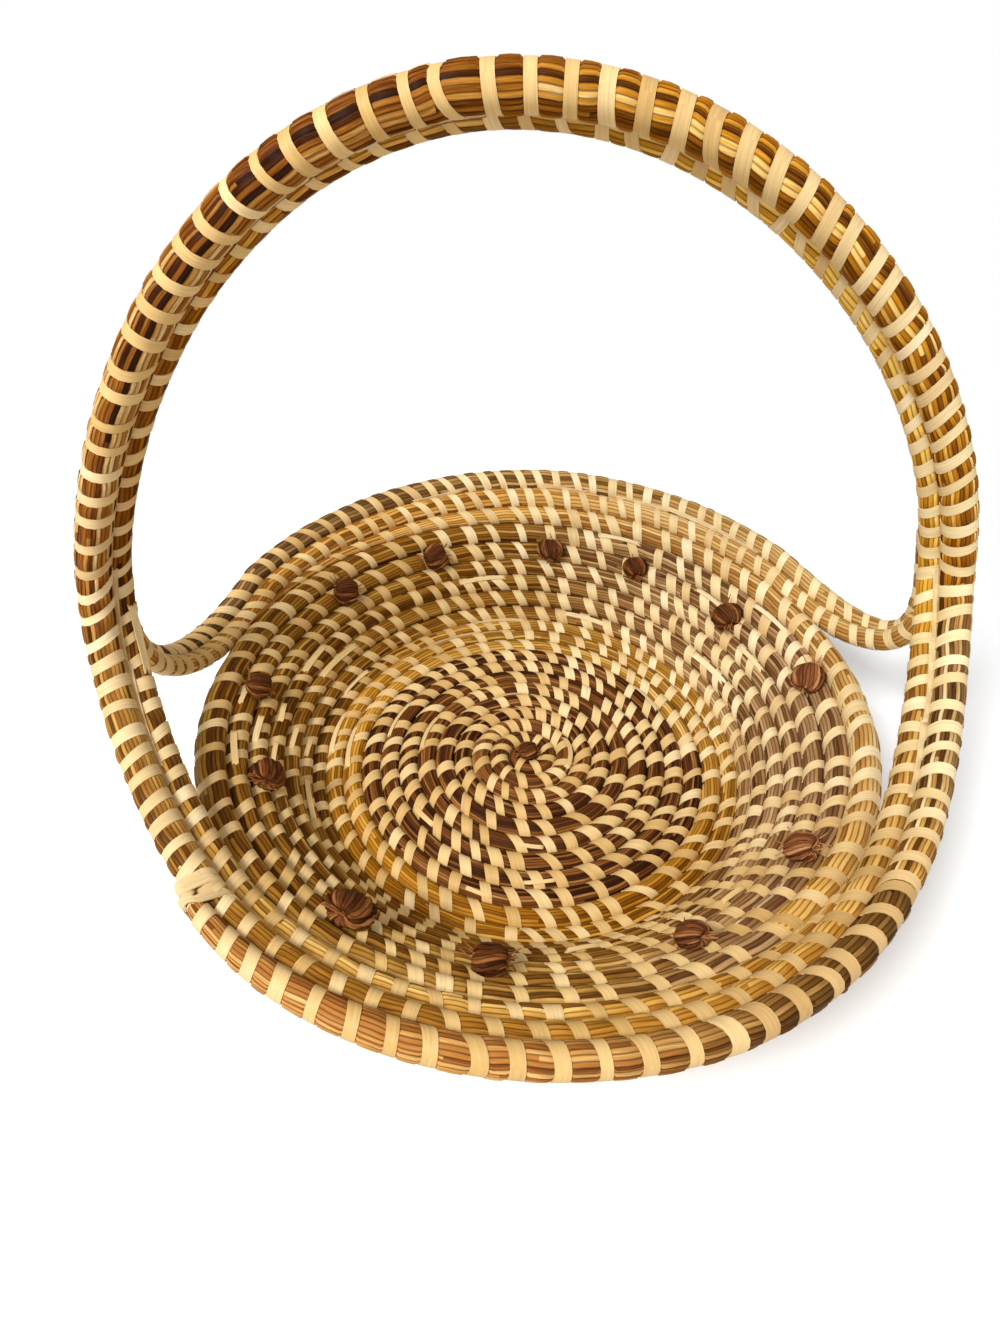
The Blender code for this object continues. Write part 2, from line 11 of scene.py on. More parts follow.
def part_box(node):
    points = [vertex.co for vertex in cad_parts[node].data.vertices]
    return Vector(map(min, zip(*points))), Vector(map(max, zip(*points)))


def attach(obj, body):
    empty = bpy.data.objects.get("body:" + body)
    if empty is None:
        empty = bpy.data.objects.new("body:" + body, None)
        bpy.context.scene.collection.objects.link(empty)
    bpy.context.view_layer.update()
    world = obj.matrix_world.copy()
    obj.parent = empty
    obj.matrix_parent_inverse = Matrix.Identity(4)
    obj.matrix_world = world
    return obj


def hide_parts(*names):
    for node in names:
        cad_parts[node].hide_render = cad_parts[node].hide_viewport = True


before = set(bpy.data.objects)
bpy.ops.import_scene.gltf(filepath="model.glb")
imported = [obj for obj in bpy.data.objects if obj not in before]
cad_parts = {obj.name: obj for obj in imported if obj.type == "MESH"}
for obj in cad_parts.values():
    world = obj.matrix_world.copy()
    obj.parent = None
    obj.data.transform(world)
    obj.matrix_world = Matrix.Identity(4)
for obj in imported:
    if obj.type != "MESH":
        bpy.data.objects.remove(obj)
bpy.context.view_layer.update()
bpy.ops.object.select_all(action="DESELECT")

# The basket's own measures, as the solids have them. Turns count the rounds of the spiral, from +X.
body = {
    "floorPitch": 0.0090, "rimPitch": 0.0112, "coilGap": 0.0007, "firstRadius": 0.00975, "flatCut": 0.00084,
    "grassTurns": (8.0, 249 / 24), "wallTurns": (249 / 24, 404 / 24), "shoulderTurns": (404 / 24, 418 / 24),
    "pitchGrowTurns": (13.5, 16.7), "taperTurns": (414 / 24 - 0.02, 418 / 24), "tipShare": 0.3,
    "tailTurn": 418 / 24 + 0.022, "tailShare": 0.14, "heartTurns": (-1.0, -0.4), "heartShare": 0.94,
    "floorReach": 0.097, "cornerReach": 0.014, "wallReach": 0.084, "cornerSlope": math.radians(62),
    "slopeShares": ((0.15, 0.85), (0.29, 0.71), (0.50, 0.63), (0.70, 0.69), (1.0, 0.66)),
    "sectionStep": 0.0005, "steps": 6620,
}
rim = {
    "frontTurns": (15 / 24, 21 / 24), "backTurns": (2 / 24, 10 / 24), "frontSteps": 91, "backSteps": 121,
    "goldenRow": 17, "rimRow": 18, "edgeRow": 19, "taperTurns": (19 / 24, 21 / 24),
    "edgeTurns": (15 / 24, 15.6 / 24, 16.6 / 24, 21 / 24), "edgeShares": (0.62, 0.78, 0.90, 1.0),
    "leadCount": 9, "leadShares": (0.25, 0.58), "backEndPitch": 0.0092,
}
arch = {
    "clearance": 0.028, "spring": 0.090, "rise": 0.185, "lean": -0.012, "end": math.radians(73),
    "heightPower": 4 / 3, "roll": math.radians(56), "outerRadius": 0.0060, "innerRadius": 0.0044,
    "gap": 0.0005, "legDrop": 0.046, "legReach": 0.052, "legPlaces": 12, "legSteps": 91, "topSteps": 121,
    "strandPlace": 11.2, "tipPlace": 15.0, "strandDrop": 0.062, "strandReach": 0.048,
    "leftDip": 0.4, "rightDip": 0.2, "strandLean": -0.12, "strandTurn": math.radians(49),
    "tipShare": 0.6, "strandSteps": 90, "tipSteps": 31, "searchSteps": 400, "tangentStep": math.radians(0.5),
}


# Routes: the same curves as the solids', taken at finer steps

def shareOf(value, first, last):
    # 0 at the first value and 1 at the last, held outside them
    return np.clip((value - first) / (last - first), 0, 1)


def turnPitch(turn):
    share = shareOf(turn, *body["pitchGrowTurns"])
    return body["floorPitch"] + (body["rimPitch"] - body["floorPitch"]) * share * share * (3 - 2 * share)


def arcAt(turn):
    # how far out along the bowl's section a row lies
    first, last = body["pitchGrowTurns"]
    share = shareOf(turn, first, last)
    grown = (last - first) * (share ** 3 - share ** 4 / 2) + np.maximum(turn - last, 0)
    return body["firstRadius"] + body["floorPitch"] * turn + (body["rimPitch"] - body["floorPitch"]) * grown


def sectionSlope(reach):
    corner = body["floorReach"] + body["cornerReach"]
    stations = [body["floorReach"], corner]
    slopes = [0.0, body["cornerSlope"]]
    for share, slopeShare in body["slopeShares"]:
        stations.append(corner + share * body["wallReach"])
        slopes.append(body["cornerSlope"] * slopeShare)
    return np.interp(reach, stations, slopes)


sectionEnd = body["floorReach"] + body["cornerReach"] + 2 * body["wallReach"]
sectionReach = np.arange(0, sectionEnd, body["sectionStep"])
sectionAngles = sectionSlope(sectionReach + body["sectionStep"] / 2)
sectionRadius = np.concatenate([[0], np.cumsum(np.cos(sectionAngles))[:-1]]) * body["sectionStep"]
sectionHeight = np.concatenate([[0], np.cumsum(np.sin(sectionAngles))[:-1]]) * body["sectionStep"]
sectionHeight += body["floorPitch"] / 2 - body["coilGap"] / 2 - body["flatCut"]


def turned(radius, height, turn):
    # points or directions given by radius and height, turned about +Z
    azimuth = 2 * np.pi * np.asarray(turn)
    return np.stack([radius * np.cos(azimuth), radius * np.sin(azimuth), height], axis=-1)


def sectionPoints(reach, turn):
    radius = np.interp(reach, sectionReach, sectionRadius)
    return turned(radius, np.interp(reach, sectionReach, sectionHeight), turn)


def sectionAxes(reach, turn):
    # outward along the section, and out of the bowl's inner face
    slope = sectionSlope(reach)
    return turned(np.cos(slope), np.sin(slope), turn), turned(-np.sin(slope), np.cos(slope), turn)


def unit(rows):
    return rows / np.linalg.norm(rows, axis=-1, keepdims=True)


def squareTo(along, rows):
    return unit(rows - along * np.sum(along * rows, axis=-1, keepdims=True))


def between(values, places, rows):
    # points or directions read between the places that they are given for
    return np.stack([np.interp(values, places, rows[:, axis]) for axis in range(3)], -1)


def distances(points, others):
    return np.linalg.norm(others[None] - points[:, None], axis=2)


def coilRoute(points, sides, radii):
    # a route kept as: where, the two directions across, the radius, and how far along
    points = np.asarray(points, float)
    along = unit(np.gradient(points, axis=0))
    sides = squareTo(along, np.asarray(sides, float))
    runs = np.concatenate([[0], np.cumsum(np.linalg.norm(np.diff(points, axis=0), axis=1))])
    return {"points": points, "along": along, "sides": sides, "ups": np.cross(sides, along),
            "radii": np.asarray(radii, float), "runs": runs}


def taperShare(turn):
    return np.interp(turn, (*body["taperTurns"], body["tailTurn"]), (1, body["tipShare"], body["tailShare"]))


def bodyRoute():
    # the whole spiral, from its heart under the middle knot to where the shoulder's last stems end
    turn = np.linspace(body["heartTurns"][0], body["tailTurn"], body["steps"])
    heart = np.interp(turn, body["heartTurns"], (body["heartShare"], 1))
    thin = taperShare(turn)
    reach = arcAt(turn) - turnPitch(turn) * (1 - thin) / 2
    radii = turnPitch(turn) * thin * heart / 2
    route = coilRoute(sectionPoints(reach, turn), sectionAxes(reach, turn)[0], radii)
    route["turns"] = turn
    return route


def frontShares(turn):
    # how thick the front rows are: the lowest tapers away on the right, the rim's on the left
    lowest = 1 - (1 - body["tipShare"]) * shareOf(turn, *rim["taperTurns"])
    return {rim["goldenRow"]: lowest, rim["rimRow"]: np.ones_like(turn),
            rim["edgeRow"]: np.interp(turn, rim["edgeTurns"], rim["edgeShares"])}


def frontStation(turn, row):
    # where a front row lies, each one resting on those below it, with its outward side and radius
    turn = np.atleast_1d(turn)
    shares = frontShares(turn)
    reach = arcAt(rim["goldenRow"] + turn) - body["rimPitch"] / 2
    reach += body["rimPitch"] * (sum(shares[below] for below in shares if below < row) + shares[row] / 2)
    return sectionPoints(reach, turn), sectionAxes(reach, turn)[0], body["rimPitch"] * shares[row] / 2


rimReach = float(arcAt(rim["rimRow"] - 1)) + body["rimPitch"] / 2
handleHalf = float(np.interp(rimReach, sectionReach, sectionRadius)) + arch["clearance"]


def archOuter(angle):
    height = arch["rise"] * np.abs(np.cos(angle)) ** arch["heightPower"]
    lean = arch["lean"] * (height / arch["rise"]) ** 2
    return np.stack([handleHalf * np.sin(angle) + lean, np.zeros_like(angle), arch["spring"] + height], -1)


def archFrame(angle):
    # the arch's outer coil, its run and the way its inner coil lies, rolled to the back
    angle = np.atleast_1d(angle)
    along = unit(archOuter(angle + arch["tangentStep"]) - archOuter(angle - arch["tangentStep"]))
    back = np.array([0.0, 1.0, 0.0])
    across = unit(np.cross(back, along))
    return archOuter(angle), along, across * math.cos(arch["roll"]) + back * math.sin(arch["roll"])


def bezier(start, startPull, endPull, end, share):
    share = np.asarray(share)[:, None]
    rest = 1 - share
    return (start * rest ** 3 + startPull * 3 * rest ** 2 * share
            + endPull * 3 * rest * share ** 2 + end * share ** 3)


def ringTangent(turn):
    return np.array([-math.sin(2 * math.pi * turn), math.cos(2 * math.pi * turn), 0.0])


def handleSide(side):
    # half of the handle's outer coil, from its foot on the rim to the top of the arch
    turn = rim["frontTurns"][1] if side > 0 else rim["frontTurns"][0]
    row = rim["edgeRow"] if side > 0 else rim["rimRow"]
    start = frontStation(turn, row)[0][0]
    below = unit(frontStation(turn, row - 1)[0][0] - start)
    end, along, inward = (rows[0] for rows in archFrame(side * arch["end"]))
    shares = np.linspace(0, 1, arch["legSteps"])
    startPull = start + ringTangent(turn) * side * arch["legReach"]
    leg = bezier(start, startPull, end + along * side * arch["legDrop"], end, shares)
    legIn = below * (1 - shares[:, None]) + inward * shares[:, None]
    rises = np.linspace(0, 1, arch["topSteps"])[1:]
    top, along, topIn = archFrame(side * arch["end"] * (1 - rises))
    points = np.concatenate([leg, top])
    inwards = squareTo(unit(np.gradient(points, axis=0)), np.concatenate([legIn, topIn]))
    places = np.concatenate([shares, 1 + rises]) * arch["legPlaces"]
    return {"places": places, "points": points, "inwards": inwards}


def handleRadii(places):
    # the radii of the outer and inner coil and the gap between them, from the rim up to the arch
    share = np.minimum(places / arch["legPlaces"], 1)
    rimRadius = (body["rimPitch"] - body["coilGap"]) / 2
    feet = (rimRadius, rimRadius, body["coilGap"])
    tops = (arch["outerRadius"], arch["innerRadius"], arch["gap"])
    return [foot + (top - foot) * share for foot, top in zip(feet, tops)]


def strandFrame(half, places):
    # the back strand's middle, beside and behind the handle's inner coil
    points = between(places, half["places"], half["points"])
    along = unit(between(places, half["places"], unit(np.gradient(half["points"], axis=0))))
    inwards = squareTo(along, between(places, half["places"], half["inwards"]))
    behind = np.cross(along, inwards)
    behind *= np.sign(behind[:, 1:2])
    thick, slim, gap = handleRadii(places)
    thin = (rim["backEndPitch"] - body["coilGap"]) / 2
    reach = slim + thin + arch["gap"]
    inwardSeat = thick + slim + gap + reach * math.cos(arch["strandTurn"])
    behindSeat = reach * math.sin(arch["strandTurn"])
    middle = points + inwards * inwardSeat[:, None] + behind * behindSeat[:, None]
    inner = points + inwards * (thick + slim + gap)[:, None]
    return {"strand": middle, "along": along, "inner": inner, "slim": slim, "thin": thin}


def rimLead(left):
    # the rim's thin beginning, laid along the outside of the handle's left leg
    leg = left["points"][rim["leadCount"]:0:-1]
    outward = -left["inwards"][rim["leadCount"]:0:-1]
    radii = np.linspace(*rim["leadShares"], len(leg)) * body["rimPitch"] / 2
    return leg + outward * (body["rimPitch"] / 2 + radii)[:, None], outward, radii


def chainRoute(halves):
    # one coil, as it is sewn: the rim from the left, the handle's outer coil over to the left, the
    # second front row, the handle's inner coil over to the left, and the lowest front row
    first, last = rim["frontTurns"]
    points, sides, radii, ends = [], [], [], []
    span, inwards, places = (np.concatenate([halves[1][key], halves[-1][key][::-1][1:]])
                             for key in ("points", "inwards", "places"))
    thick, slim, gap = handleRadii(places)
    inner = span + inwards * (thick + slim + gap)[:, None]
    inner[0] = frontStation(last, rim["rimRow"])[0][0]
    inner[-1] = frontStation(first, rim["goldenRow"])[0][0]
    turns = np.linspace(first, last, rim["frontSteps"])
    edge = [np.concatenate(rows) for rows in zip(rimLead(halves[-1]), frontStation(turns, rim["edgeRow"]))]
    for stretch in (edge, (span, -inwards, thick + gap / 2),
                    frontStation(turns, rim["rimRow"]), (inner, -inwards, slim + gap / 2),
                    frontStation(turns, rim["goldenRow"])):
        skip = 1 if points else 0
        for kept, rows in zip((points, sides, radii), stretch):
            kept.append(rows[skip:])
        ends.append(sum(len(rows) for rows in points) - 1)
    route = coilRoute(np.concatenate(points), np.concatenate(sides), np.concatenate(radii))
    route["ends"] = route["runs"][ends]
    return route


def backPitch(turn):
    first, last = rim["backTurns"]
    share = np.minimum(np.abs(turn - (first + last) / 2) / ((last - first) / 2), 1.0)
    return body["rimPitch"] + (rim["backEndPitch"] - body["rimPitch"]) * share * share


def backReach(turn, row):
    below = arcAt(rim["goldenRow"] + turn) + body["rimPitch"] / 2
    thin = body["rimPitch"] * (1 - taperShare(rim["goldenRow"] + turn))
    return below - thin + backPitch(turn) * (row - rim["goldenRow"] + 0.5)


def backStrand(side, half):
    # the upper strand from the back rim to the handle's back, and the golden one below it
    turn = rim["backTurns"][0] if side > 0 else rim["backTurns"][1]
    start = sectionPoints(backReach(turn, rim["rimRow"]), turn)
    below = unit(sectionPoints(backReach(turn, rim["goldenRow"]), turn) - start)
    seats = strandFrame(half, np.linspace(arch["strandPlace"], arch["tipPlace"], arch["tipSteps"]))
    end, along = seats["strand"][0], seats["along"][0]
    dip = arch["rightDip"] if side > 0 else arch["leftDip"]
    startPull = start + (ringTangent(turn) * -side - np.array([0, 0, dip])) * arch["strandReach"]
    endPull = end + (np.array([0, arch["strandLean"], 0]) - along) * arch["strandDrop"]
    shares = np.linspace(0, 1, arch["strandSteps"])
    run = bezier(start, startPull, endPull, end, shares)
    inner = strandFrame(half, np.linspace(0, 2 * arch["legPlaces"], arch["searchSteps"]))
    lean = unit(inner["inner"][distances(run, inner["inner"]).argmin(1)] - run)
    lean = below * (1 - shares[:, None]) + lean * shares[:, None]
    lean = squareTo(unit(np.gradient(run, axis=0)), lean)
    golden = run + lean * (rim["backEndPitch"] + arch["gap"] * shares)[:, None]
    # the golden strand stops where it would run into the handle's inner coil
    fits = (distances(golden, inner["inner"]) - inner["slim"][None]).min(1) > seats["thin"]
    stop = int(np.argmin(fits)) if not fits.all() else len(golden)
    return run, seats["strand"][1:], golden[:stop]


backTurns = np.linspace(*rim["backTurns"], rim["backSteps"])[1:-1]


def backRoutes(halves):
    # the two back rows, each from its end on the right round the back to its end on the left
    right, rightTip, rightGolden = backStrand(1, halves[1])
    left, leftTip, leftGolden = backStrand(-1, halves[-1])
    rimRing, goldenRing = (sectionPoints(backReach(backTurns, rim[row]), backTurns)
                           for row in ("rimRow", "goldenRow"))
    upper = np.concatenate([rightTip[::-1], right[::-1], rimRing, left, leftTip])
    lower = np.concatenate([rightGolden[::-1], goldenRing, leftGolden])
    endHalf = rim["backEndPitch"] / 2
    ringHalves = backPitch(backTurns) / 2
    rightThin, leftThin = (np.linspace(endHalf, endHalf * arch["tipShare"], len(tip))
                           for tip in (rightTip, leftTip))
    upperRadii = np.concatenate([rightThin[::-1], np.full(len(right), endHalf), ringHalves,
                                 np.full(len(left), endHalf), leftThin])
    lowerRadii = np.concatenate([np.full(len(rightGolden), endHalf), ringHalves,
                                 np.full(len(leftGolden), endHalf)])
    routes = []
    for points, radii, before, partner, tips in (
        (upper, upperRadii, len(right) + len(rightTip), lower, (len(rightTip), len(leftTip))),
        (lower, lowerRadii, len(rightGolden), upper, (0, 0)),
    ):
        nearest = distances(points, partner).argmin(1)
        sides = points - partner[nearest] if partner is lower else partner[nearest] - points
        route = coilRoute(points, sides, radii)
        route["ringRuns"] = route["runs"][before:before + len(backTurns)]
        route["sewn"] = (route["runs"][tips[0]], route["runs"][len(points) - 1 - tips[1]])
        routes.append(route)
    return routes


print("routes: the spiral, the chain of rim and handle, and the back strands")
spiralRoute = bodyRoute()
halves = {side: handleSide(side) for side in (-1, 1)}
chain = chainRoute(halves)
upperRoute, lowerRoute = backRoutes(halves)


def at(route, runs):
    # the route's values at given distances along it
    result = {key: unit(between(runs, route["runs"], route[key])) for key in ("along", "sides", "ups")}
    result["points"] = between(runs, route["runs"], route["points"])
    result["radii"] = np.interp(runs, route["runs"], route["radii"])
    return result


# Stitches: where the palmetto goes round the coils

stitching = {
    "radii": (0.0, 0.010, 0.019, 0.028, 0.037, 0.050, 0.095, 0.115, 0.130, 0.160),
    "pitches": (0.0050, 0.0068, 0.0090, 0.0109, 0.0120, 0.0128, 0.0126, 0.0127, 0.0136, 0.0140),
    "widthRadii": (0.0, 0.012, 0.019, 0.030, 0.075, 0.095, 0.115, 0.160),
    "widths": (0.0030, 0.0036, 0.0046, 0.0056, 0.0058, 0.0050, 0.0050, 0.0054),
    "slant": 0.0030, "slantRadii": (0.0, 0.012, 0.030), "slantShares": (0.2, 0.6, 1.0),
    "firstTurn": -0.34, "lastTurn": body["shoulderTurns"][1] - 0.01, "leastRadius": 0.004,
    "stepAhead": 0.0006, "tooNear": 0.66, "tooFar": 1.42, "even": 0.18, "jitter": 0.0015,
    "widthSpread": 0.11, "widthLimit": 0.2, "slantSpread": 0.0008, "pitchSpread": 0.05,
    "widerHeading": math.radians(40), "wider": 0.14,
}


def spiralStitches():
    # each stitch goes in beside one of the row before, so they stack in bent columns
    draw = np.random.default_rng(7)
    turns = [stitching["firstTurn"]]
    source = -1
    while True:
        radius = float(np.interp(arcAt(turns[-1]), sectionReach, sectionRadius))
        pitch = float(np.interp(radius, stitching["radii"], stitching["pitches"]))
        perTurn = 2 * math.pi * max(radius, stitching["leastRadius"])
        if turns[-1] < stitching["firstTurn"] + 1:
            turns.append(turns[-1] + pitch / perTurn)
            continue
        source += 1
        target = turns[source] + 1 + (stitching["stepAhead"] + draw.normal(0, stitching["jitter"])) / perTurn
        if target > stitching["lastTurn"]:
            break
        gap = (target - turns[-1]) * perTurn / pitch
        if gap < stitching["tooNear"]:
            continue
        if gap > stitching["tooFar"]:
            turns.append(turns[-1] + (target - turns[-1]) / 2)
        else:
            target += (turns[-1] + pitch / perTurn - target) * stitching["even"]
        turns.append(target)
    return np.array(turns)


def withSpread(runs, widths, slants, seed):
    # no two stitches are quite alike
    draw = np.random.default_rng(seed)
    order = np.argsort(runs)
    limit = stitching["widthLimit"]
    widths = widths * (1 + draw.normal(0, stitching["widthSpread"], len(runs)).clip(-limit, limit))
    slants = slants + draw.normal(0, stitching["slantSpread"], len(runs))
    return {"runs": runs[order], "widths": widths[order], "slants": slants[order]}


def evenStitches(first, last, pitch, seed, lead=0.5):
    draw = np.random.default_rng(seed)
    count = max(round((last - first) / pitch), 1)
    runs = first + (np.arange(count) + lead) * (last - first) / count
    return runs + draw.normal(0, stitching["pitchSpread"], len(runs)) * pitch


# Coils: a bundle of stems, pinched flat where a stitch holds it

bundle = {
    "ridge": 0.060, "wander": 0.05, "wanderLengths": (0.055, 0.021), "pinch": 0.060, "swell": 0.030,
    "waves": (0.030, 0.080), "lift": 0.7, "sway": 0.5, "bulge": 0.010, "bulgeLength": 0.047, "flatten": 0.9,
    "edge": 0.0007, "edgeHeld": 0.9, "nearHeld": 0.15, "shortHeld": 0.6, "beyond": 0.03,
    "rowOverlap": 0.00006, "floorGap": 0.0004, "closest": 0.0002, "longest": 0.0035, "capLength": 0.004,
}


def addPiece(name, mesh, material):
    mesh.shade_smooth()
    mesh.materials.append(material)
    piece = bpy.data.objects.new(name, mesh)
    bpy.context.scene.collection.objects.link(piece)
    return piece


def meshFrom(name, verts, quads, caps, uvs, material):
    mesh = bpy.data.meshes.new(name)
    mesh.from_pydata(verts.tolist(), [], quads.tolist() + caps)
    layer = mesh.uv_layers.new(name="along")
    layer.data.foreach_set("uv", uvs.astype(np.float32).ravel())
    return addPiece(name, mesh, material)


def ringPlaces(window, stitches):
    # rings of the bundle: three under each stitch, three where it swells between two of them
    edge, edgeHeld, nearHeld = bundle["edge"], bundle["edgeHeld"], bundle["nearHeld"]
    runs = stitches["runs"]
    near = (runs > window[0] - bundle["beyond"]) & (runs < window[1] + bundle["beyond"])
    centres, halves, slants = (stitches[key][near] for key in ("runs", "widths", "slants"))
    halves = halves / 2
    rows = []
    for index, (centre, half, slant) in enumerate(zip(centres, halves, slants)):
        rows += [(centre - half, edgeHeld, slant), (centre, 1.0, slant), (centre + half, edgeHeld, slant)]
        if index + 1 == len(centres):
            continue
        start, end = centre + half, centres[index + 1] - halves[index + 1]
        middle = (slant + slants[index + 1]) / 2
        if end - start > 3 * edge:
            rows += [(start + edge, nearHeld, slant), ((start + end) / 2, 0.0, middle),
                     (end - edge, nearHeld, slants[index + 1])]
        elif end > start:
            rows.append(((start + end) / 2, bundle["shortHeld"], middle))
    rows = np.array(sorted(rows))
    closest = bundle["closest"]
    rows = rows[np.concatenate([[True], np.diff(rows[:, 0]) > closest])]
    inside = rows[(rows[:, 0] > window[0] + closest) & (rows[:, 0] < window[1] - closest)]
    ends = [[place, *(np.interp(place, rows[:, 0], rows[:, col]) for col in (1, 2))] for place in window]
    rows = np.concatenate([ends[:1], inside, ends[1:]])
    # more rings where no stitch holds the coil for a while
    filled = [rows[:1]]
    for before, after in zip(rows[:-1], rows[1:]):
        steps = math.ceil((after[0] - before[0]) / bundle["longest"])
        shares = (np.arange(steps)[:, None] + 1) / steps
        filled.append(before * (1 - shares) + after * shares)
    return np.concatenate(filled).T


def roundAngles(count):
    return 2 * np.pi * np.arange(count) / count


def makeBundle(name, route, window, stitches, material, look):
    # the coil between two distances along the route; u counts the stems, v is metres along
    draw = np.random.default_rng(look["seed"])
    runs, held, slants = ringPlaces(window, stitches)
    count = len(runs) - 1
    here = at(route, runs)
    corners = 2 * look["stems"]
    angle = roundAngles(corners)
    phases = draw.uniform(0, 2 * np.pi, (3, corners))
    waves = draw.uniform(*bundle["waves"], corners)
    longWander, shortWander = bundle["wanderLengths"]
    sway = np.sin(2 * np.pi * runs / longWander) + np.sin(2 * np.pi * runs / shortWander + 1)
    around = angle[None] + bundle["wander"] * sway[:, None]
    alternate = np.where(np.arange(corners) % 2 == 0, 1.0, -1.0)
    lift = bundle["lift"] + bundle["sway"] * np.sin(2 * np.pi * runs[:, None] / waves[None] + phases[0][None])
    loose = 1 - bundle["flatten"] * held[:, None]
    bulge = bundle["bulge"] * np.sin(2 * np.pi * runs[:, None] / bundle["bulgeLength"] + phases[1][None])
    relief = look.get("ridge", bundle["ridge"]) * alternate[None] * lift * loose + bulge * loose
    relief = 1 + bundle["swell"] - (bundle["swell"] + bundle["pinch"]) * held[:, None] + relief
    spread = (here["radii"] + bundle["rowOverlap"])[:, None] * relief
    rings = here["points"][:, None] + spread[..., None] * (
        np.cos(around)[..., None] * here["sides"][:, None]
        + look["tall"] * np.sin(around)[..., None] * here["ups"][:, None])
    ahead = slants[:, None] * np.cos(around)
    rings = rings + ahead[..., None] * here["along"][:, None]
    verts = rings.reshape(-1, 3)
    verts[:, 2] = np.maximum(verts[:, 2], bundle["floorGap"])
    row = np.arange(count)[:, None] * corners
    col = np.arange(corners)[None]
    nextCol = (col + 1) % corners
    quads = np.stack([row + col, row + col + corners, row + nextCol + corners, row + nextCol], -1)
    u = np.broadcast_to(np.arange(corners + 1) / 2, (count, corners + 1))
    v = runs[:, None] + np.concatenate([ahead, ahead[:, :1]], 1)
    early, late = slice(None, -1), slice(1, None)
    uvs = np.stack([np.stack([u[:, side], v[end, side]], -1)
                    for end, side in ((early, early), (late, early), (late, late), (early, late))], 2)
    caps = [list(range(corners)), [count * corners + index for index in reversed(range(corners))]]
    capUvs = np.stack([np.cos(angle), np.sin(angle) * bundle["capLength"]], -1)
    uvs = np.concatenate([uvs.reshape(-1, 2), capUvs, capUvs[::-1]])
    return meshFrom(name, verts, quads.reshape(-1, 4), caps, uvs, material)


strip = {
    "around": 14, "thickness": 0.00040, "lift": 0.00004, "reachIn": 0.12, "waist": 0.10, "fit": 1.008,
    "floorGaps": (0.00035, 0.00005), "lastStep": 0.002, "veinShift": 3, "veinDrift": 0.1, "tints": (0, 1),
    "corners": ((0, -1), (1, -1), (1, 1), (0, 1)),
}


def stripMesh(name, rings, closed, width, draw, tints, material):
    # rings of four corners each, joined along the strip; sharp along its edges, smooth over its face
    count, steps = rings.shape[:2]
    offsets = draw.uniform(0, strip["veinShift"], count)
    tints = draw.uniform(*tints, count)
    base = (np.arange(count) * steps * 4)[:, None, None]
    stations = np.arange(steps if closed else steps - 1)
    ring = (stations * 4)[None, :, None]
    nextRing = (((stations + 1) % steps) * 4)[None, :, None]
    corner = np.arange(4)[None, None, :]
    nextCorner = (corner + 1) % 4
    quads = np.stack([base + ring + corner, base + ring + nextCorner, base + nextRing + nextCorner,
                      base + nextRing + corner], -1).reshape(-1, 4)
    length = np.linalg.norm(rings[:, 1:, 1] - rings[:, :-1, 1], axis=2)
    length = np.concatenate([np.zeros((count, 1)), np.cumsum(length, 1)], 1)
    length = np.concatenate([length, length[:, -1:] + strip["lastStep"]], 1)[:, :len(stations) + 1]
    uvs = np.zeros((count, len(stations), 4, 4, 2))
    crossing = np.array([0.0, 0.0, 1.0, 1.0, 0.0]) * width
    for number in range(4):
        for loop, (place, late) in enumerate(((number, 0), (number + 1, 0), (number + 1, 1), (number, 1))):
            values = length[:, 1:] if late else length[:, :-1]
            uvs[:, :, number, loop, 0] = crossing[place] + offsets[:, None]
            uvs[:, :, number, loop, 1] = values + offsets[:, None] * strip["veinDrift"]
    caps = []
    for start in () if closed else range(0, count * steps * 4, steps * 4):
        end = start + (steps - 1) * 4
        caps += [[start + 3, start + 2, start + 1, start], [end, end + 1, end + 2, end + 3]]
    uvs = np.concatenate([uvs.reshape(-1, 2), np.zeros((len(caps) * 4, 2))])
    piece = meshFrom(name, rings.reshape(-1, 3), quads, caps, uvs, material)
    values = np.repeat(tints, steps * 4).astype(np.float32)
    piece.data.attributes.new("tint", "FLOAT", "POINT").data.foreach_set("value", values)
    pairs = np.zeros(len(piece.data.edges) * 2, dtype=np.int32)
    piece.data.edges.foreach_get("vertices", pairs)
    pairs = pairs.reshape(-1, 2)
    sharp = piece.data.attributes.new("sharp_edge", "BOOLEAN", "EDGE")
    sharp.data.foreach_set("value", pairs[:, 0] % 4 == pairs[:, 1] % 4)
    return piece


def makeStitches(name, route, stitches, window, material, seed, tall=1.0):
    # one ring of palmetto for each stitch, tilted so that its outer side lies further along
    inside = (stitches["runs"] >= window[0]) & (stitches["runs"] < window[1])
    runs, widths, slants = (stitches[key][inside] for key in ("runs", "widths", "slants"))
    here = at(route, runs)
    angle = roundAngles(strip["around"])
    low = (here["radii"] + bundle["rowOverlap"]) * (1 - bundle["pinch"]) * strip["fit"] + strip["lift"]
    reach = 1 + strip["reachIn"] * np.where(np.cos(angle) < 0, -np.cos(angle), 0.0)
    waist = 1 - strip["waist"] * np.abs(np.cos(angle))
    rings = []
    for depth, edge in strip["corners"]:
        size = low + depth * strip["thickness"]
        across = size[:, None] * (np.cos(angle) * reach)[None]
        above = size[:, None] * tall * np.sin(angle)[None]
        ahead = slants[:, None] * np.cos(angle)[None] + edge * widths[:, None] * waist[None] / 2
        corner = (here["points"][:, None] + across[..., None] * here["sides"][:, None]
                  + above[..., None] * here["ups"][:, None] + ahead[..., None] * here["along"][:, None])
        corner[..., 2] = np.maximum(corner[..., 2], strip["floorGaps"][depth])
        rings.append(corner)
    return stripMesh(name, np.stack(rings, 2), True, float(widths.mean()), np.random.default_rng(seed),
                     strip["tints"], material)


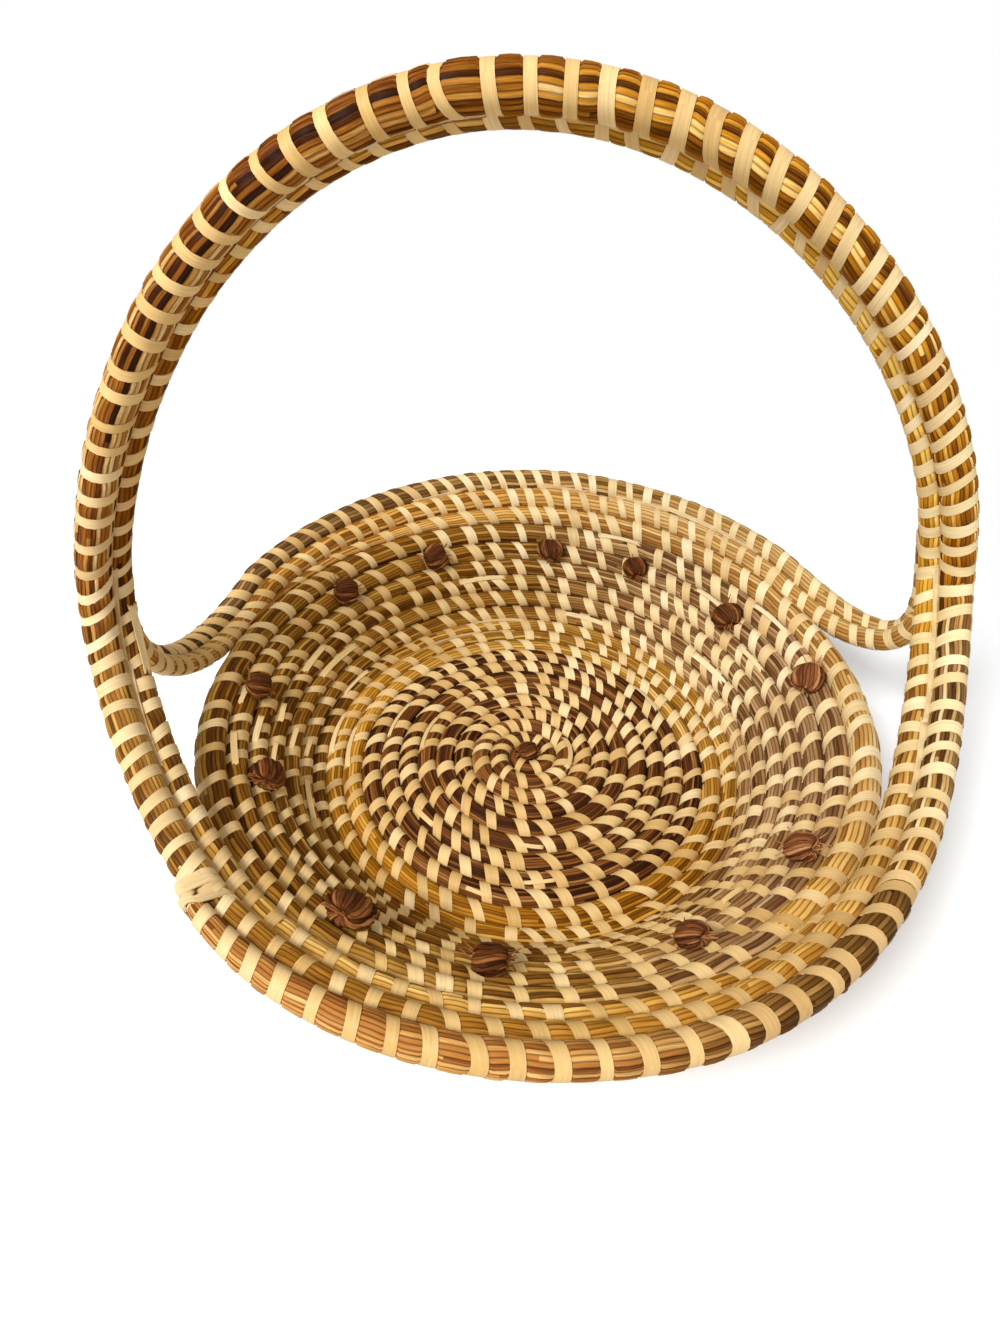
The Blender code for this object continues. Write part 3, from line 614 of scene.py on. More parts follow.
tuckLook = {"steps": 11, "ends": 0.92, "middle": 1.12, "rise": 0.4, "thickness": 0.0003, "turn": 0.1,
            "veinWidth": 0.002, "tints": (0.5, 1)}


def makeTucks(name, route, tucks, tall, material, seed):
    # where a strip ran out, its end was laid along the coil and caught under the next stitches
    draw = np.random.default_rng(seed)
    rings = []
    for first, last, degrees, width in tucks:
        runs = np.linspace(first, last, tuckLook["steps"])
        here = at(route, runs)
        drift = np.linspace(-tuckLook["turn"], tuckLook["turn"], len(runs)) * draw.choice((-1, 1))
        around = math.radians(degrees) + drift
        cos, sin = np.cos(around)[:, None], np.sin(around)[:, None]
        radial = cos * here["sides"] + tall * sin * here["ups"]
        across = sin * here["sides"] - cos * here["ups"]
        rise = np.sin(np.linspace(0, np.pi, len(runs))) ** tuckLook["rise"]
        share = tuckLook["ends"] + (tuckLook["middle"] - tuckLook["ends"]) * rise
        middle = here["points"] + radial * (here["radii"] * share)[:, None]
        rings.append(np.stack([middle + radial * (depth * tuckLook["thickness"]) + across * edge * width / 2
                               for depth, edge in strip["corners"]], 1))
    return stripMesh(name, np.stack(rings), False, tuckLook["veinWidth"], draw, tuckLook["tints"], material)


wrapLook = {"steps": 20, "fit": 1.07, "wider": 1.1, "tints": (0.2, 0.9)}


def makeWraps(name, first, second, firstRadii, secondRadii, along, leans, widths, slants, material, seed):
    # strips that bind two coils together: each goes round both
    toSecond = squareTo(along, second - first)
    over = np.cross(toSecond, along)
    apart = np.sum((second - first) * toSecond, axis=1)
    angle = roundAngles(wrapLook["steps"])
    cos, sin = np.cos(angle)[None, :, None], np.sin(angle)[None, :, None]
    radial = cos * toSecond[:, None] + sin * over[:, None]
    onSecond = apart[:, None] * np.cos(angle)[None] + secondRadii[:, None] > firstRadii[:, None]
    centre = np.where(onSecond[..., None], second[:, None], first[:, None])
    radii = np.where(onSecond, secondRadii[:, None], firstRadii[:, None])
    rings = []
    for depth, edge in strip["corners"]:
        size = radii * wrapLook["fit"] + depth * strip["thickness"]
        ahead = slants[:, None] * np.sum(radial * leans[:, None], axis=2) + edge * widths[:, None] / 2
        rings.append(centre + radial * size[..., None] + along[:, None] * ahead[..., None])
    return stripMesh(name, np.stack(rings, 2), True, float(widths.mean()), np.random.default_rng(seed),
                     wrapLook["tints"], material)


# Knots: buttons of needles wound round and round, with a few ends left standing. On the ball that
# each is made from, z runs from pole to pole.

knotLook = {
    "poleHalf": 0.0068, "sideHalf": 0.0070, "upHalf": 0.0050, "segments": 78, "rings": 14, "poleEdge": 0.001,
    "ribs": 13, "valley": 0.74, "heights": (0.88, 1.08), "ribPower": 0.7, "twist": 0.45, "wobble": 0.12,
    "wobbles": 4, "bulge": 0.08, "hollow": 0.45, "hollowPower": 9, "startPhase": 0.25,
    "needles": 11, "needleRadius": 0.00035, "needleTaper": 0.6, "needleSides": 5, "needleLength": 0.0055,
    "lengths": (0.7, 1.3), "spread": 1.4, "rises": (-0.2, 0.7), "rootShare": 0.55, "rootSpread": 0.003,
}


def knotDirections(middle, degrees):
    # the way the knot's poles lie, across them, and out of the basket
    radius = math.hypot(middle[0], middle[1])
    if radius < body["firstRadius"]:
        outward, upward = np.array([1.0, 0, 0]), np.array([0, 0, 1.0])
    else:
        apart = np.hypot(sectionRadius - radius, sectionHeight - middle[2])
        turn = math.atan2(middle[1], middle[0]) / (2 * math.pi)
        outward, upward = sectionAxes(sectionReach[apart.argmin()], turn)
    tangent = np.cross(upward, outward)
    pole = outward * math.cos(math.radians(degrees)) + tangent * math.sin(math.radians(degrees))
    return pole, np.cross(upward, pole), upward


def makeKnot(node, degrees, size, material, seed):
    draw = np.random.default_rng(seed)
    low, high = (np.array(corner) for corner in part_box(node))
    middle = (low + high) / 2
    pole, side, upward = knotDirections(middle, degrees)
    poleHalf, ribs, valley = knotLook["poleHalf"], knotLook["ribs"], knotLook["valley"]
    ball = bmesh.new()
    bmesh.ops.create_uvsphere(ball, u_segments=knotLook["segments"], v_segments=knotLook["rings"], radius=1.0)
    layer = ball.loops.layers.uv.new("along")
    for face in ball.faces:
        middleLon = math.atan2(sum(v.co.y for v in face.verts), sum(v.co.x for v in face.verts))
        for loop in face.loops:
            x, y, z = loop.vert.co
            lon = math.atan2(y, x) if math.hypot(x, y) > knotLook["poleEdge"] else middleLon
            lon += 2 * math.pi * round((middleLon - lon) / (2 * math.pi))
            lon += knotLook["twist"] * z
            stem = lon / (2 * math.pi) * ribs * 2 + knotLook["startPhase"]
            loop[layer].uv = (stem, math.asin(z) * poleHalf)
    heights = draw.uniform(*knotLook["heights"], ribs)
    for vertex in ball.verts:
        x, y, z = vertex.co
        lon = math.atan2(y, x) + knotLook["twist"] * z
        lon += knotLook["wobble"] * math.sin(knotLook["wobbles"] * z + seed)
        height = heights[int(lon / (2 * math.pi) * ribs) % ribs]
        rib = valley + (height - valley) * abs(math.sin(lon * ribs / 2)) ** knotLook["ribPower"]
        rib *= 1 + knotLook["bulge"] * math.sin(2 * lon + seed) * (1 - z * z)
        across = side * x * knotLook["sideHalf"] * rib + upward * y * knotLook["upHalf"] * rib
        drawnIn = 1 - knotLook["hollow"] * abs(z) ** knotLook["hollowPower"]
        vertex.co = Vector(middle + size * (across + pole * z * poleHalf * drawnIn))
    for number in range(knotLook["needles"]):
        sign = draw.choice((-1, 1))
        heading = pole * sign + side * draw.uniform(-knotLook["spread"], knotLook["spread"])
        heading = Vector(heading + upward * draw.uniform(*knotLook["rises"])).normalized()
        length = knotLook["needleLength"] * draw.uniform(*knotLook["lengths"]) * size
        aside = side * draw.uniform(-knotLook["rootSpread"], knotLook["rootSpread"])
        root = Vector(middle + size * (pole * sign * poleHalf * knotLook["rootShare"] + aside))
        upright = heading.to_track_quat("Z", "Y").to_matrix().to_4x4()
        bmesh.ops.create_cone(
            ball, cap_ends=True, segments=knotLook["needleSides"], radius1=knotLook["needleRadius"],
            radius2=knotLook["needleRadius"] * knotLook["needleTaper"], depth=length,
            matrix=Matrix.Translation(root + heading * length / 2) @ upright)
    mesh = bpy.data.meshes.new(node + "_needles")
    ball.to_mesh(mesh)
    ball.free()
    piece = addPiece(node + "_needles", mesh, material)
    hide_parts(node)
    return piece


# Materials

def colour(text):
    # an sRGB hex colour as linear values
    values = [int(text[place:place + 2], 16) / 255 for place in (1, 3, 5)]
    linear = [value / 12.92 if value <= 0.04045 else ((value + 0.055) / 1.055) ** 2.4 for value in values]
    return (*linear, 1.0)


def addNode(tree, kind, settings=(), links=()):
    node = tree.nodes.new(kind)
    for key, value in dict(settings).items():
        if isinstance(key, int) or key in node.inputs:
            node.inputs[key].default_value = value
        else:
            setattr(node, key, value)
    for key, source in dict(links).items():
        tree.links.new(source, node.inputs[key])
    return node


def mathNode(tree, operation, first, second=0.0):
    node = addNode(tree, "ShaderNodeMath", {"operation": operation})
    for index, value in enumerate((first, second)):
        if isinstance(value, (int, float)):
            node.inputs[index].default_value = value
        else:
            tree.links.new(value, node.inputs[index])
    return node.outputs["Value"]


def mapped(tree, value, fromRange, toRange=(0.0, 1.0), kind="LINEAR"):
    settings = {"interpolation_type": kind, "From Min": fromRange[0], "From Max": fromRange[1],
                "To Min": toRange[0], "To Max": toRange[1]}
    return addNode(tree, "ShaderNodeMapRange", settings, {"Value": value}).outputs["Result"]


# where a ramp's shades sit on it, by how many it has
rampPlaces = {4: (0.0, 0.3, 0.75, 1.0), 5: (0.0, 0.3, 0.6, 0.85, 1.0), 6: (0.0, 0.25, 0.5, 0.75, 0.95, 1.0)}


def rampOf(tree, factor, shades):
    node = addNode(tree, "ShaderNodeValToRGB", {}, {"Fac": factor})
    ramp = node.color_ramp
    while len(ramp.elements) < len(shades):
        ramp.elements.new(0.5)
    for element, place, text in zip(ramp.elements, rampPlaces[len(shades)], shades):
        element.position = place
        element.color = colour(text)
    return node.outputs["Color"]


def towards(tree, direction, near, far):
    # 0 to 1 across the basket: along a heading, or a level direction given in degrees from +X
    place = addNode(tree, "ShaderNodeTexCoord").outputs["Object"]
    heading = direction
    if isinstance(direction, (int, float)):
        heading = (math.cos(math.radians(direction)), math.sin(math.radians(direction)), 0)
    dot = addNode(tree, "ShaderNodeVectorMath", {"operation": "DOT_PRODUCT", 1: heading}, {0: place})
    return mapped(tree, dot.outputs["Value"], (near, far), kind="SMOOTHSTEP")


def shadesAcross(tree, factor, shades, others):
    # the shades of one material, giving way to others over parts of the basket
    shade = rampOf(tree, factor, shades)
    for otherShades, direction, near, far in others:
        links = {0: towards(tree, direction, near, far), 6: shade, 7: rampOf(tree, factor, otherShades)}
        shade = addNode(tree, "ShaderNodeMix", {"data_type": "RGBA"}, links).outputs[2]
    return shade


def startMaterial(name, roughness, specular):
    material = bpy.data.materials.new(name)
    material.use_nodes = True
    shader = material.node_tree.nodes["Principled BSDF"]
    shader.inputs["Roughness"].default_value = roughness
    shader.inputs["Specular IOR Level"].default_value = specular
    return material, material.node_tree, shader


def paint(tree, shader, shade, tone, height, strength, distance):
    toned = addNode(tree, "ShaderNodeVectorMath", {"operation": "SCALE"}, {0: shade, "Scale": tone})
    bump = addNode(tree, "ShaderNodeBump", {"Strength": strength, "Distance": distance}, {"Height": height})
    tree.links.new(toned.outputs["Vector"], shader.inputs["Base Color"])
    tree.links.new(bump.outputs["Normal"], shader.inputs["Normal"])


grassLook = {
    "stemLength": 0.110, "stagger": 0.381, "stemShare": 0.55, "spread": 0.34, "fineLength": 0.014,
    "fineAcross": 2.6, "fineNoise": {"Scale": 1.0, "Detail": 3.0, "Roughness": 0.6},
    "paintedGrooveShade": (0.26, 0.5), "paintedGrooveTones": (1.0, 0.28), "bump": 0.0003, "specular": 0.06,
}


def stemMaterial(name, shades, roughness, others=(), contrast=1.0):
    # dry stems laid side by side: each keeps its own shade for a few centimetres, with fine streaks
    # along it and painted shade in the groove where it meets the next
    material, tree, shader = startMaterial(name, roughness, grassLook["specular"])
    uv = addNode(tree, "ShaderNodeUVMap", {"uv_map": "along"})
    split = addNode(tree, "ShaderNodeSeparateXYZ", {}, {"Vector": uv.outputs["UV"]}).outputs
    stem = mathNode(tree, "ROUND", split["X"])
    aside = mathNode(tree, "ABSOLUTE", mathNode(tree, "SUBTRACT", split["X"], stem))
    length = mathNode(tree, "MULTIPLY", split["Y"], 1 / grassLook["stemLength"])
    stagger = mathNode(tree, "ADD", length, mathNode(tree, "MULTIPLY", stem, grassLook["stagger"]))
    stemPlace = addNode(tree, "ShaderNodeCombineXYZ", {}, {"X": stem, "Y": mathNode(tree, "FLOOR", stagger)})
    stemNoise = addNode(tree, "ShaderNodeTexWhiteNoise", {"noise_dimensions": "2D"},
                        {"Vector": stemPlace.outputs["Vector"]})
    finePlace = addNode(tree, "ShaderNodeCombineXYZ", {}, {
        "X": mathNode(tree, "MULTIPLY", split["X"], grassLook["fineAcross"]),
        "Y": mathNode(tree, "MULTIPLY", split["Y"], 1 / grassLook["fineLength"])})
    fineNoise = addNode(tree, "ShaderNodeTexNoise", grassLook["fineNoise"],
                        {"Vector": finePlace.outputs["Vector"]})
    both = addNode(tree, "ShaderNodeMix", {"data_type": "FLOAT", 0: 1 - grassLook["stemShare"]},
                   {2: stemNoise.outputs["Value"], 3: fineNoise.outputs["Fac"]})
    half = grassLook["spread"] / contrast
    factor = mapped(tree, both.outputs[0], (0.5 - half, 0.5 + half))
    # painted shade: each stem darkens towards the groove beside it
    paintedGrooveShade = mapped(tree, aside, grassLook["paintedGrooveShade"], grassLook["paintedGrooveTones"])
    paint(tree, shader, shadesAcross(tree, factor, shades, others), paintedGrooveShade, fineNoise.outputs["Fac"], 1.0,
          grassLook["bump"])
    return material


palmettoLook = {
    "roughness": 0.5, "specular": 0.2, "veinScale": (1 / 0.0007, 1 / 0.02, 1), "veinRange": (0.3, 0.7),
    "veinTones": (0.82, 1.05), "bump": 0.0002, "strength": 0.4,
    "shades": ("#c8a05f", "#d3ad6e", "#dcb97c", "#e6c790"),
    # paler at the back right, duller at the front right as painted shade where the rim turns from
    # the lamps, and palest on the handle's two legs
    "others": (
        (("#dab780", "#e5c993", "#ecd3a1", "#f2ddb2"), 38, 0.0, 0.11),
        # painted shade: duller strips on the front right
        (("#b48e54", "#c49d62", "#d2ac72", "#dcb880"), 308, 0.13, 0.175),
        (("#cba872", "#d7b782", "#e0c38f", "#e9cfa1"), 205, 0.135, 0.155),
        (("#dfc48b", "#e8cf99", "#efd9a6", "#f5e2b5"), 0, 0.125, 0.155),
    ),
}


def palmettoMaterial():
    # warm cream leaf with fine veins along it and a soft satin sheen, each strip a little different
    material, tree, shader = startMaterial(
        "split palmetto leaf, dried", palmettoLook["roughness"], palmettoLook["specular"])
    uv = addNode(tree, "ShaderNodeUVMap", {"uv_map": "along"}).outputs["UV"]
    place = addNode(tree, "ShaderNodeMapping", {"Scale": palmettoLook["veinScale"]}, {"Vector": uv})
    vein = addNode(tree, "ShaderNodeTexNoise", {"Scale": 1.0, "Detail": 2.0},
                   {"Vector": place.outputs["Vector"]}).outputs["Fac"]
    tint = addNode(tree, "ShaderNodeAttribute", {"attribute_name": "tint"}).outputs["Fac"]
    shade = shadesAcross(tree, tint, palmettoLook["shades"], palmettoLook["others"])
    tone = mapped(tree, vein, palmettoLook["veinRange"], palmettoLook["veinTones"])
    paint(tree, shader, shade, tone, vein, palmettoLook["strength"], palmettoLook["bump"])
    return material


print("materials: needles, sweetgrass, bulrush, handle grass, palmetto")
# the floor's middle: very dark, with a few red brown stems
darkNeedles = stemMaterial(
    "longleaf pine needles, dried dark", ("#1f0c03", "#46240d", "#6d3d16", "#935e2a", "#bf8d4f"), 0.5)
# honey gold, a little paler towards the back right
goldenGrass = stemMaterial(
    "sweetgrass, sun dried golden", ("#5c3301", "#955c0c", "#bc8022", "#d39b3c", "#e7bb68"), 0.5,
    ((("#643f0e", "#a37026", "#c6933e", "#dbad5d", "#eac886"), 48, -0.02, 0.08),))
# olive brown on the left, greyer on the right and warmer at the front
brownRush = stemMaterial(
    "bulrush, dried brown", ("#422306", "#72440e", "#94611a", "#ae7e2e", "#c89e52"), 0.55,
    ((("#46280f", "#7f5630", "#a2794c", "#c49d6a", "#e5c999"), 18, 0.02, 0.13),
     (("#4e2c06", "#835518", "#a6752e", "#c2944c", "#dbb270"), 275, 0.08, 0.145),
     (("#482812", "#7e5430", "#a0774c", "#be986c", "#dec29a"), 328, 0.07, 0.13)))
# the brightest gold, deeper at the back and duller on the right; at the front its shades are partly
# painted light, made lighter because that inner face turns away from the lamps
shoulderGrass = stemMaterial(
    "sweetgrass of the shoulder, deep golden", ("#76490e", "#b37828", "#d39e48", "#e6b662", "#f4d08a"), 0.5,
    ((("#6b3d09", "#a1661f", "#c38a39", "#dca653", "#edc27a"), 80, -0.06, 0.06),
     (("#7c5020", "#b07c3c", "#cc9c56", "#e0b672", "#f0ce96"), 15, 0.03, 0.13)))
# fox red on the left and nearly black on the right
rimNeedles = stemMaterial(
    "pine needles, reddish brown", ("#4a2208", "#884e1e", "#ae7032", "#c68f4c", "#deb26e"), 0.5,
    ((("#231302", "#4c2e0a", "#6b4618", "#8b612c", "#ad8249"), 0, -0.03, 0.08),))
# pale and dark stems side by side on the left, amber on the right, both softer down the legs
legShades = ("#57330c", "#946124", "#b9863a", "#d3a658", "#e9c685")
outerGrass = stemMaterial(
    "mixed rush and sweetgrass of the handle's outer coil",
    ("#2c1000", "#552704", "#8a4f13", "#b17a34", "#c99e5e", "#d7ba8c"), 0.5,
    ((("#5a2e00", "#965806", "#c07e18", "#dca03a", "#efc270"), 0, -0.06, 0.06),
     (legShades, (0, 0, -1), -0.115, -0.085),
     (("#4a2f10", "#805c32", "#a27c4a", "#be9b68", "#dcc094"), (0.707, 0, -0.707), 0.035, 0.060)), 1.4)
# dark amber on the left and bright yellow gold on the right
innerGrass = stemMaterial(
    "amber grass of the handle's inner coil", ("#3a1a01", "#703c04", "#985a0c", "#b87a20", "#d49d46"), 0.45,
    ((("#966414", "#d29428", "#ebb442", "#f5ca68", "#fbe2a2"), 0, -0.06, 0.06),
     (legShades, (0, 0, -1), -0.105, -0.075)), 1.2)
# dull brown on the left, turning golden on the right
rimRush = stemMaterial(
    "rush of the back rim", ("#33200e", "#664623", "#8a6537", "#a98250", "#c9a873"), 0.5,
    ((("#573710", "#93662a", "#b78945", "#cfa565", "#e6c68e"), 0, -0.10, 0.06),))
# dark red brown, a little lighter at the front right
knotNeedles = stemMaterial(
    "needles wound into knots, reddish brown", ("#241003", "#4f270d", "#73411c", "#945d2f", "#b7824c"), 0.5,
    ((("#3a1808", "#733f20", "#9a6238", "#b88152", "#d2a274"), -25, 0.06, 0.13),))
palmetto = palmettoMaterial()

print("coils: one bundle for each length of the spiral, stitched row by row")
pieces = []


def spiralRuns():
    # the strips were split wider for the back right of the wall
    turns = spiralStitches()
    for key in ("grassTurns", "wallTurns", "shoulderTurns"):
        turns[np.abs(turns - body[key][0]).argmin()] = body[key][0]
    radius = np.interp(arcAt(turns), sectionReach, sectionRadius)
    wider = np.cos(2 * np.pi * turns - stitching["widerHeading"]).clip(0, 1) * (turns > body["wallTurns"][0])
    widths = np.interp(radius, stitching["widthRadii"], stitching["widths"])
    widths = widths * (1 + stitching["wider"] * wider)
    slants = stitching["slant"] * np.interp(radius, stitching["slantRadii"], stitching["slantShares"])
    return withSpread(np.interp(turns, spiralRoute["turns"], spiralRoute["runs"]), widths, slants, 11)


def dress(node, route, window, stitches, grass, look, shown=None):
    coil = makeBundle(node + "_bundle", route, window, stitches, grass, look)
    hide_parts(node)
    wraps = makeStitches(node + "_stitches", route, shown or stitches, window, palmetto,
                         look["seed"] + len(pieces) + 1, look["tall"])
    pieces.extend((coil, wraps))


spiralSewing = spiralRuns()
bodyLook = {"seed": 20, "tall": 1.13}
for node, first, last, stems, grass, slot in (
    ("base_coil_dark", body["heartTurns"][0], body["grassTurns"][0], 24, darkNeedles, "dark_needles"),
    ("base_coil_golden", *body["grassTurns"], 19, goldenGrass, "golden_sweetgrass"),
    ("wall_coil_brown", *body["wallTurns"], 19, brownRush, "brown_bulrush"),
    ("shoulder_coil_golden", body["shoulderTurns"][0], body["tailTurn"], 19, shoulderGrass,
     "golden_sweetgrass"),
):
    window = np.interp((first, last), spiralRoute["turns"], spiralRoute["runs"])
    dress(node, spiralRoute, window, spiralSewing, grass, dict(bodyLook, stems=stems))
print(f"  spiral: {len(spiralSewing['runs'])} stitches on {spiralRoute['runs'][-1]:.2f} m of coil")

sewing = {
    "pitch": 0.0106, "frontPitch": 0.0124, "width": 0.0040, "frontWidth": 0.0051, "rightWidth": 0.0048,
    "slant": 0.0020, "leftSlant": 0.0042, "rightSlant": 0.0034, "frontSlant": 0.0020,
    "legHeights": (0.085, 0.115), "archHeights": (0.115, 0.165), "rightReach": 0.05,
    "backPitch": 0.0112, "backWidth": 0.0046, "backSlant": 0.0024, "backMargin": 0.002,
    "denseRun": 0.095, "densePitch": 0.0070,
}


def chainRuns():
    # wide strips on the front rows, and narrower ones that slant more on the handle
    ends = chain["ends"]
    runs = []
    for number, (first, last) in enumerate(zip((0, *ends[:-1]), ends)):
        pitch = sewing["frontPitch"] if number % 2 == 0 else sewing["pitch"]
        # the first stitch of each length covers where it follows on from the one before
        runs.append(evenStitches(first, last, pitch, 60 + number, 0.0 if number else 0.5))
    runs = np.concatenate(runs)
    places = at(chain, runs)["points"]
    up = shareOf(places[:, 2], *sewing["legHeights"])
    high = shareOf(places[:, 2], *sewing["archHeights"])
    right = shareOf(places[:, 0], 0, sewing["rightReach"])
    upWidths = sewing["width"] + (sewing["rightWidth"] - sewing["width"]) * right
    leftSlants = sewing["leftSlant"] + (sewing["slant"] - sewing["leftSlant"]) * high
    upSlants = leftSlants * (1 - right) + sewing["rightSlant"] * high * right
    return withSpread(runs, sewing["frontWidth"] + (upWidths - sewing["frontWidth"]) * up,
                      sewing["frontSlant"] + (upSlants - sewing["frontSlant"]) * up, 12)


chainSewing = chainRuns()
lashing = {"handle": (12.45, 3), "tip": (14.5, 2), "reach": 1.6, "steps": 321, "near": 0.0012}


def lashedStitches(side, middle, count):
    # the inner coil's stitches nearest a place on the handle, and where on the handle each one is
    grid = np.linspace(middle - lashing["reach"], middle + lashing["reach"], lashing["steps"])
    apart = distances(at(chain, chainSewing["runs"])["points"], strandFrame(halves[side], grid)["inner"])
    nearest = grid[apart.argmin(1)]
    away = np.where(apart.min(1) < lashing["near"], np.abs(nearest - middle), np.inf)
    chosen = np.sort(np.argsort(away)[:count])
    return chosen, nearest[chosen]


lashed = {f"{word}_{kind}_lashing": (side, *lashedStitches(side, *lashing[kind]))
          for kind in ("handle", "tip") for word, side in (("left", -1), ("right", 1))}
kept = np.ones(len(chainSewing["runs"]), bool)
for side, chosen, places in lashed.values():
    kept[chosen] = False
keptSewing = {key: rows[kept] for key, rows in chainSewing.items()}
starts = (0, *chain["ends"][:-1])
frontLook = {"stems": 20, "seed": 90, "tall": 1.0}
handleLook = dict(frontLook, stems=24, ridge=0.044)
for number, (node, grass, slot, look) in enumerate((
    ("front_rim_coil", rimNeedles, "reddish_rim_needles", frontLook),
    ("handle_outer_coil", outerGrass, "handle_grass", handleLook),
    ("front_upper_golden_coil", shoulderGrass, "golden_sweetgrass", frontLook),
    ("handle_inner_coil", innerGrass, "golden_sweetgrass", dict(handleLook, stems=17)),
    ("front_golden_coil", shoulderGrass, "golden_sweetgrass", frontLook),
)):
    dress(node, chain, (starts[number], chain["ends"][number]), chainSewing, grass, look, keptSewing)

# the back rows, sewn closer at the end that reaches the handle's left side
for number, (node, route, grass, slot) in enumerate((
    ("back_golden_coil", lowerRoute, shoulderGrass, "golden_sweetgrass"),
    ("back_rim_coil", upperRoute, rimRush, "brown_bulrush"),
)):
    start, end = route["sewn"]
    dense = end - sewing["denseRun"]
    runs = np.concatenate([
        evenStitches(start + sewing["backMargin"], dense, sewing["backPitch"], 70 + number),
        evenStitches(dense, end - sewing["backMargin"], sewing["densePitch"], 72 + number)])
    stitches = withSpread(runs, np.full(len(runs), sewing["backWidth"]),
                          np.full(len(runs), sewing["backSlant"]), 75 + number)
    look = {"stems": 16, "seed": 110 + number, "tall": 1.0}
    dress(node, route, (0, route["runs"][-1]), stitches, grass, look)

print("tucked ends, lashings and knots")
# the seam that each tucked end lies along, counted in rows, its two azimuths and its width
seamTucks = (
    (1.5, -30, 28, 0.0020), (3.5, 84, 112, 0.0020), (4.5, 148, 175, 0.0020), (4.5, 260, 273, 0.0014),
    (5.5, 209, 222, 0.0018), (6.5, 264, 275, 0.0013), (7.5, 246, 255, 0.0014), (7.5, 20, 38, 0.0022),
    (6.5, 147, 170, 0.0018), (8.5, 165, 184, 0.0022), (9.5, 160, 178, 0.0024), (10.5, 143, 156, 0.0022),
    (11.5, 190, 204, 0.0020), (12.5, 142, 158, 0.0024), (12.5, 17, 31, 0.0024), (12.5, 176, 184, 0.0018),
    (13.5, 150, 161, 0.0024), (13.5, 172, 178, 0.0020), (14.5, 12, 22, 0.0020), (14.5, 179, 187, 0.0022),
    (15.5, 33, 41, 0.0020), (15.5, 186, 195, 0.0022), (16.5, 16, 27, 0.0020), (16.5, 58, 69, 0.0022),
    (13.5, 184, 190, 0.0018), (14.5, 194, 199, 0.0018), (15.5, 173, 179, 0.0018), (11.5, 176, 183, 0.0018),
    (10.5, 86, 104, 0.0020), (11.5, 60, 74, 0.0020), (13.5, 92, 106, 0.0022), (9.5, 102, 122, 0.0022),
    (12.5, 272, 279, 0.0016), (13.5, 303, 309, 0.0018),
)
# shares of the way along the inner coil, the place round it in degrees, and the width
handleTucks = (
    (0.822, 0.862, 104, 0.0036), (0.800, 0.862, 25, 0.0034), (0.855, 0.915, 25, 0.0036),
    (0.050, 0.100, 30, 0.0036), (0.095, 0.150, 30, 0.0036), (0.145, 0.190, 30, 0.0034),
)
# two azimuths on the back rim, the place round the coil in degrees, and the width
rimTucks = (
    (34, 45, 150, 0.0024), (44, 57, 140, 0.0026), (56, 68, 150, 0.0024), (72, 84, 150, 0.0022),
    (100, 112, 150, 0.0020),
)
seamLook = {"degrees": 60, "wider": 1.25}
spiralTucks = []
for seam, first, last, width in seamTucks:
    turns = (seam - 0.5 + first / 360, seam - 0.5 + last / 360)
    runs = np.interp(turns, spiralRoute["turns"], spiralRoute["runs"])
    spiralTucks.append((*runs, seamLook["degrees"], width * seamLook["wider"]))
innerStart, innerEnd = chain["ends"][2:4]
chainTucks = [(*(innerStart + (innerEnd - innerStart) * np.array(ends)), degrees, width)
              for *ends, degrees, width in handleTucks]
backTucks = [(*np.interp((first / 360, last / 360), backTurns, upperRoute["ringRuns"]), *rest)
             for first, last, *rest in rimTucks]
for name, route, tucks, tall, seed in (
    ("spiral_tucked_ends", spiralRoute, spiralTucks, bodyLook["tall"], 31),
    ("handle_tucked_ends", chain, chainTucks, 1.0, 33),
    ("back_rim_tucked_ends", upperRoute, backTucks, 1.0, 35),
):
    piece = makeTucks(name, route, tucks, tall, palmetto, seed)
    pieces.append(piece)

for node, (side, chosen, places) in lashed.items():
    seats = strandFrame(halves[side], places)
    thin = np.interp(places, (arch["strandPlace"], arch["tipPlace"]), (1, arch["tipShare"])) * seats["thin"]
    held = at(chain, chainSewing["runs"][chosen])
    wraps = makeWraps(node + "_strips", seats["inner"], seats["strand"], seats["slim"], thin, held["along"],
                      held["sides"], chainSewing["widths"][chosen] * wrapLook["wider"],
                      chainSewing["slants"][chosen], palmetto, 130 + len(pieces))
    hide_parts(node)
    pieces.append(wraps)

crossing = {"places": (8, 6, 4, 2), "slants": (0.0006, 0.0022, -0.0034, 0.0040), "width": 0.0034, "fit": 0.96}
places = list(crossing["places"])
lead, outward, leadRadii = (rows[rim["leadCount"] - np.array(places)] for rows in rimLead(halves[-1]))
leg = halves[-1]["points"]
legRadii = np.full(len(places), body["rimPitch"] / 2 * crossing["fit"])
wraps = makeWraps("left_front_lashing_strips", leg[places], lead, legRadii, leadRadii,
                  unit(np.gradient(leg, axis=0))[places], outward, np.full(len(places), crossing["width"]),
                  np.array(crossing["slants"]), palmetto, 140)
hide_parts("left_front_lashing")
pieces.append(wraps)

# which way each knot's poles lie, in degrees from straight outward, and its size
knotShapes = (
    (40, 1.25), (60, 1.12), (30, 1.0), (0, 1.05), (90, 1.15), (45, 1.12),
    (0, 0.98), (60, 1.2), (0, 1.35), (90, 1.15), (20, 1.0), (0, 1.12),
)
for number, (degrees, size) in enumerate(knotShapes):
    pieces.append(makeKnot(f"wall_knot_{number + 1:02d}", degrees, size, knotNeedles, 200 + number))
pieces.append(makeKnot("centre_knot", 0, 0.8, knotNeedles, 230))

for piece in pieces:
    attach(piece, "root")

print("floor, light and camera")
stage = {"reach": 3.0, "fade": (0.24, 0.42), "paper": (0.80, 0.80, 0.80, 1), "white": (1.0, 1.0, 1.0, 1)}
bpy.ops.mesh.primitive_plane_add(size=2 * stage["reach"], location=(0, 0, 0))
floor = bpy.context.active_object
floor.name = "floor"
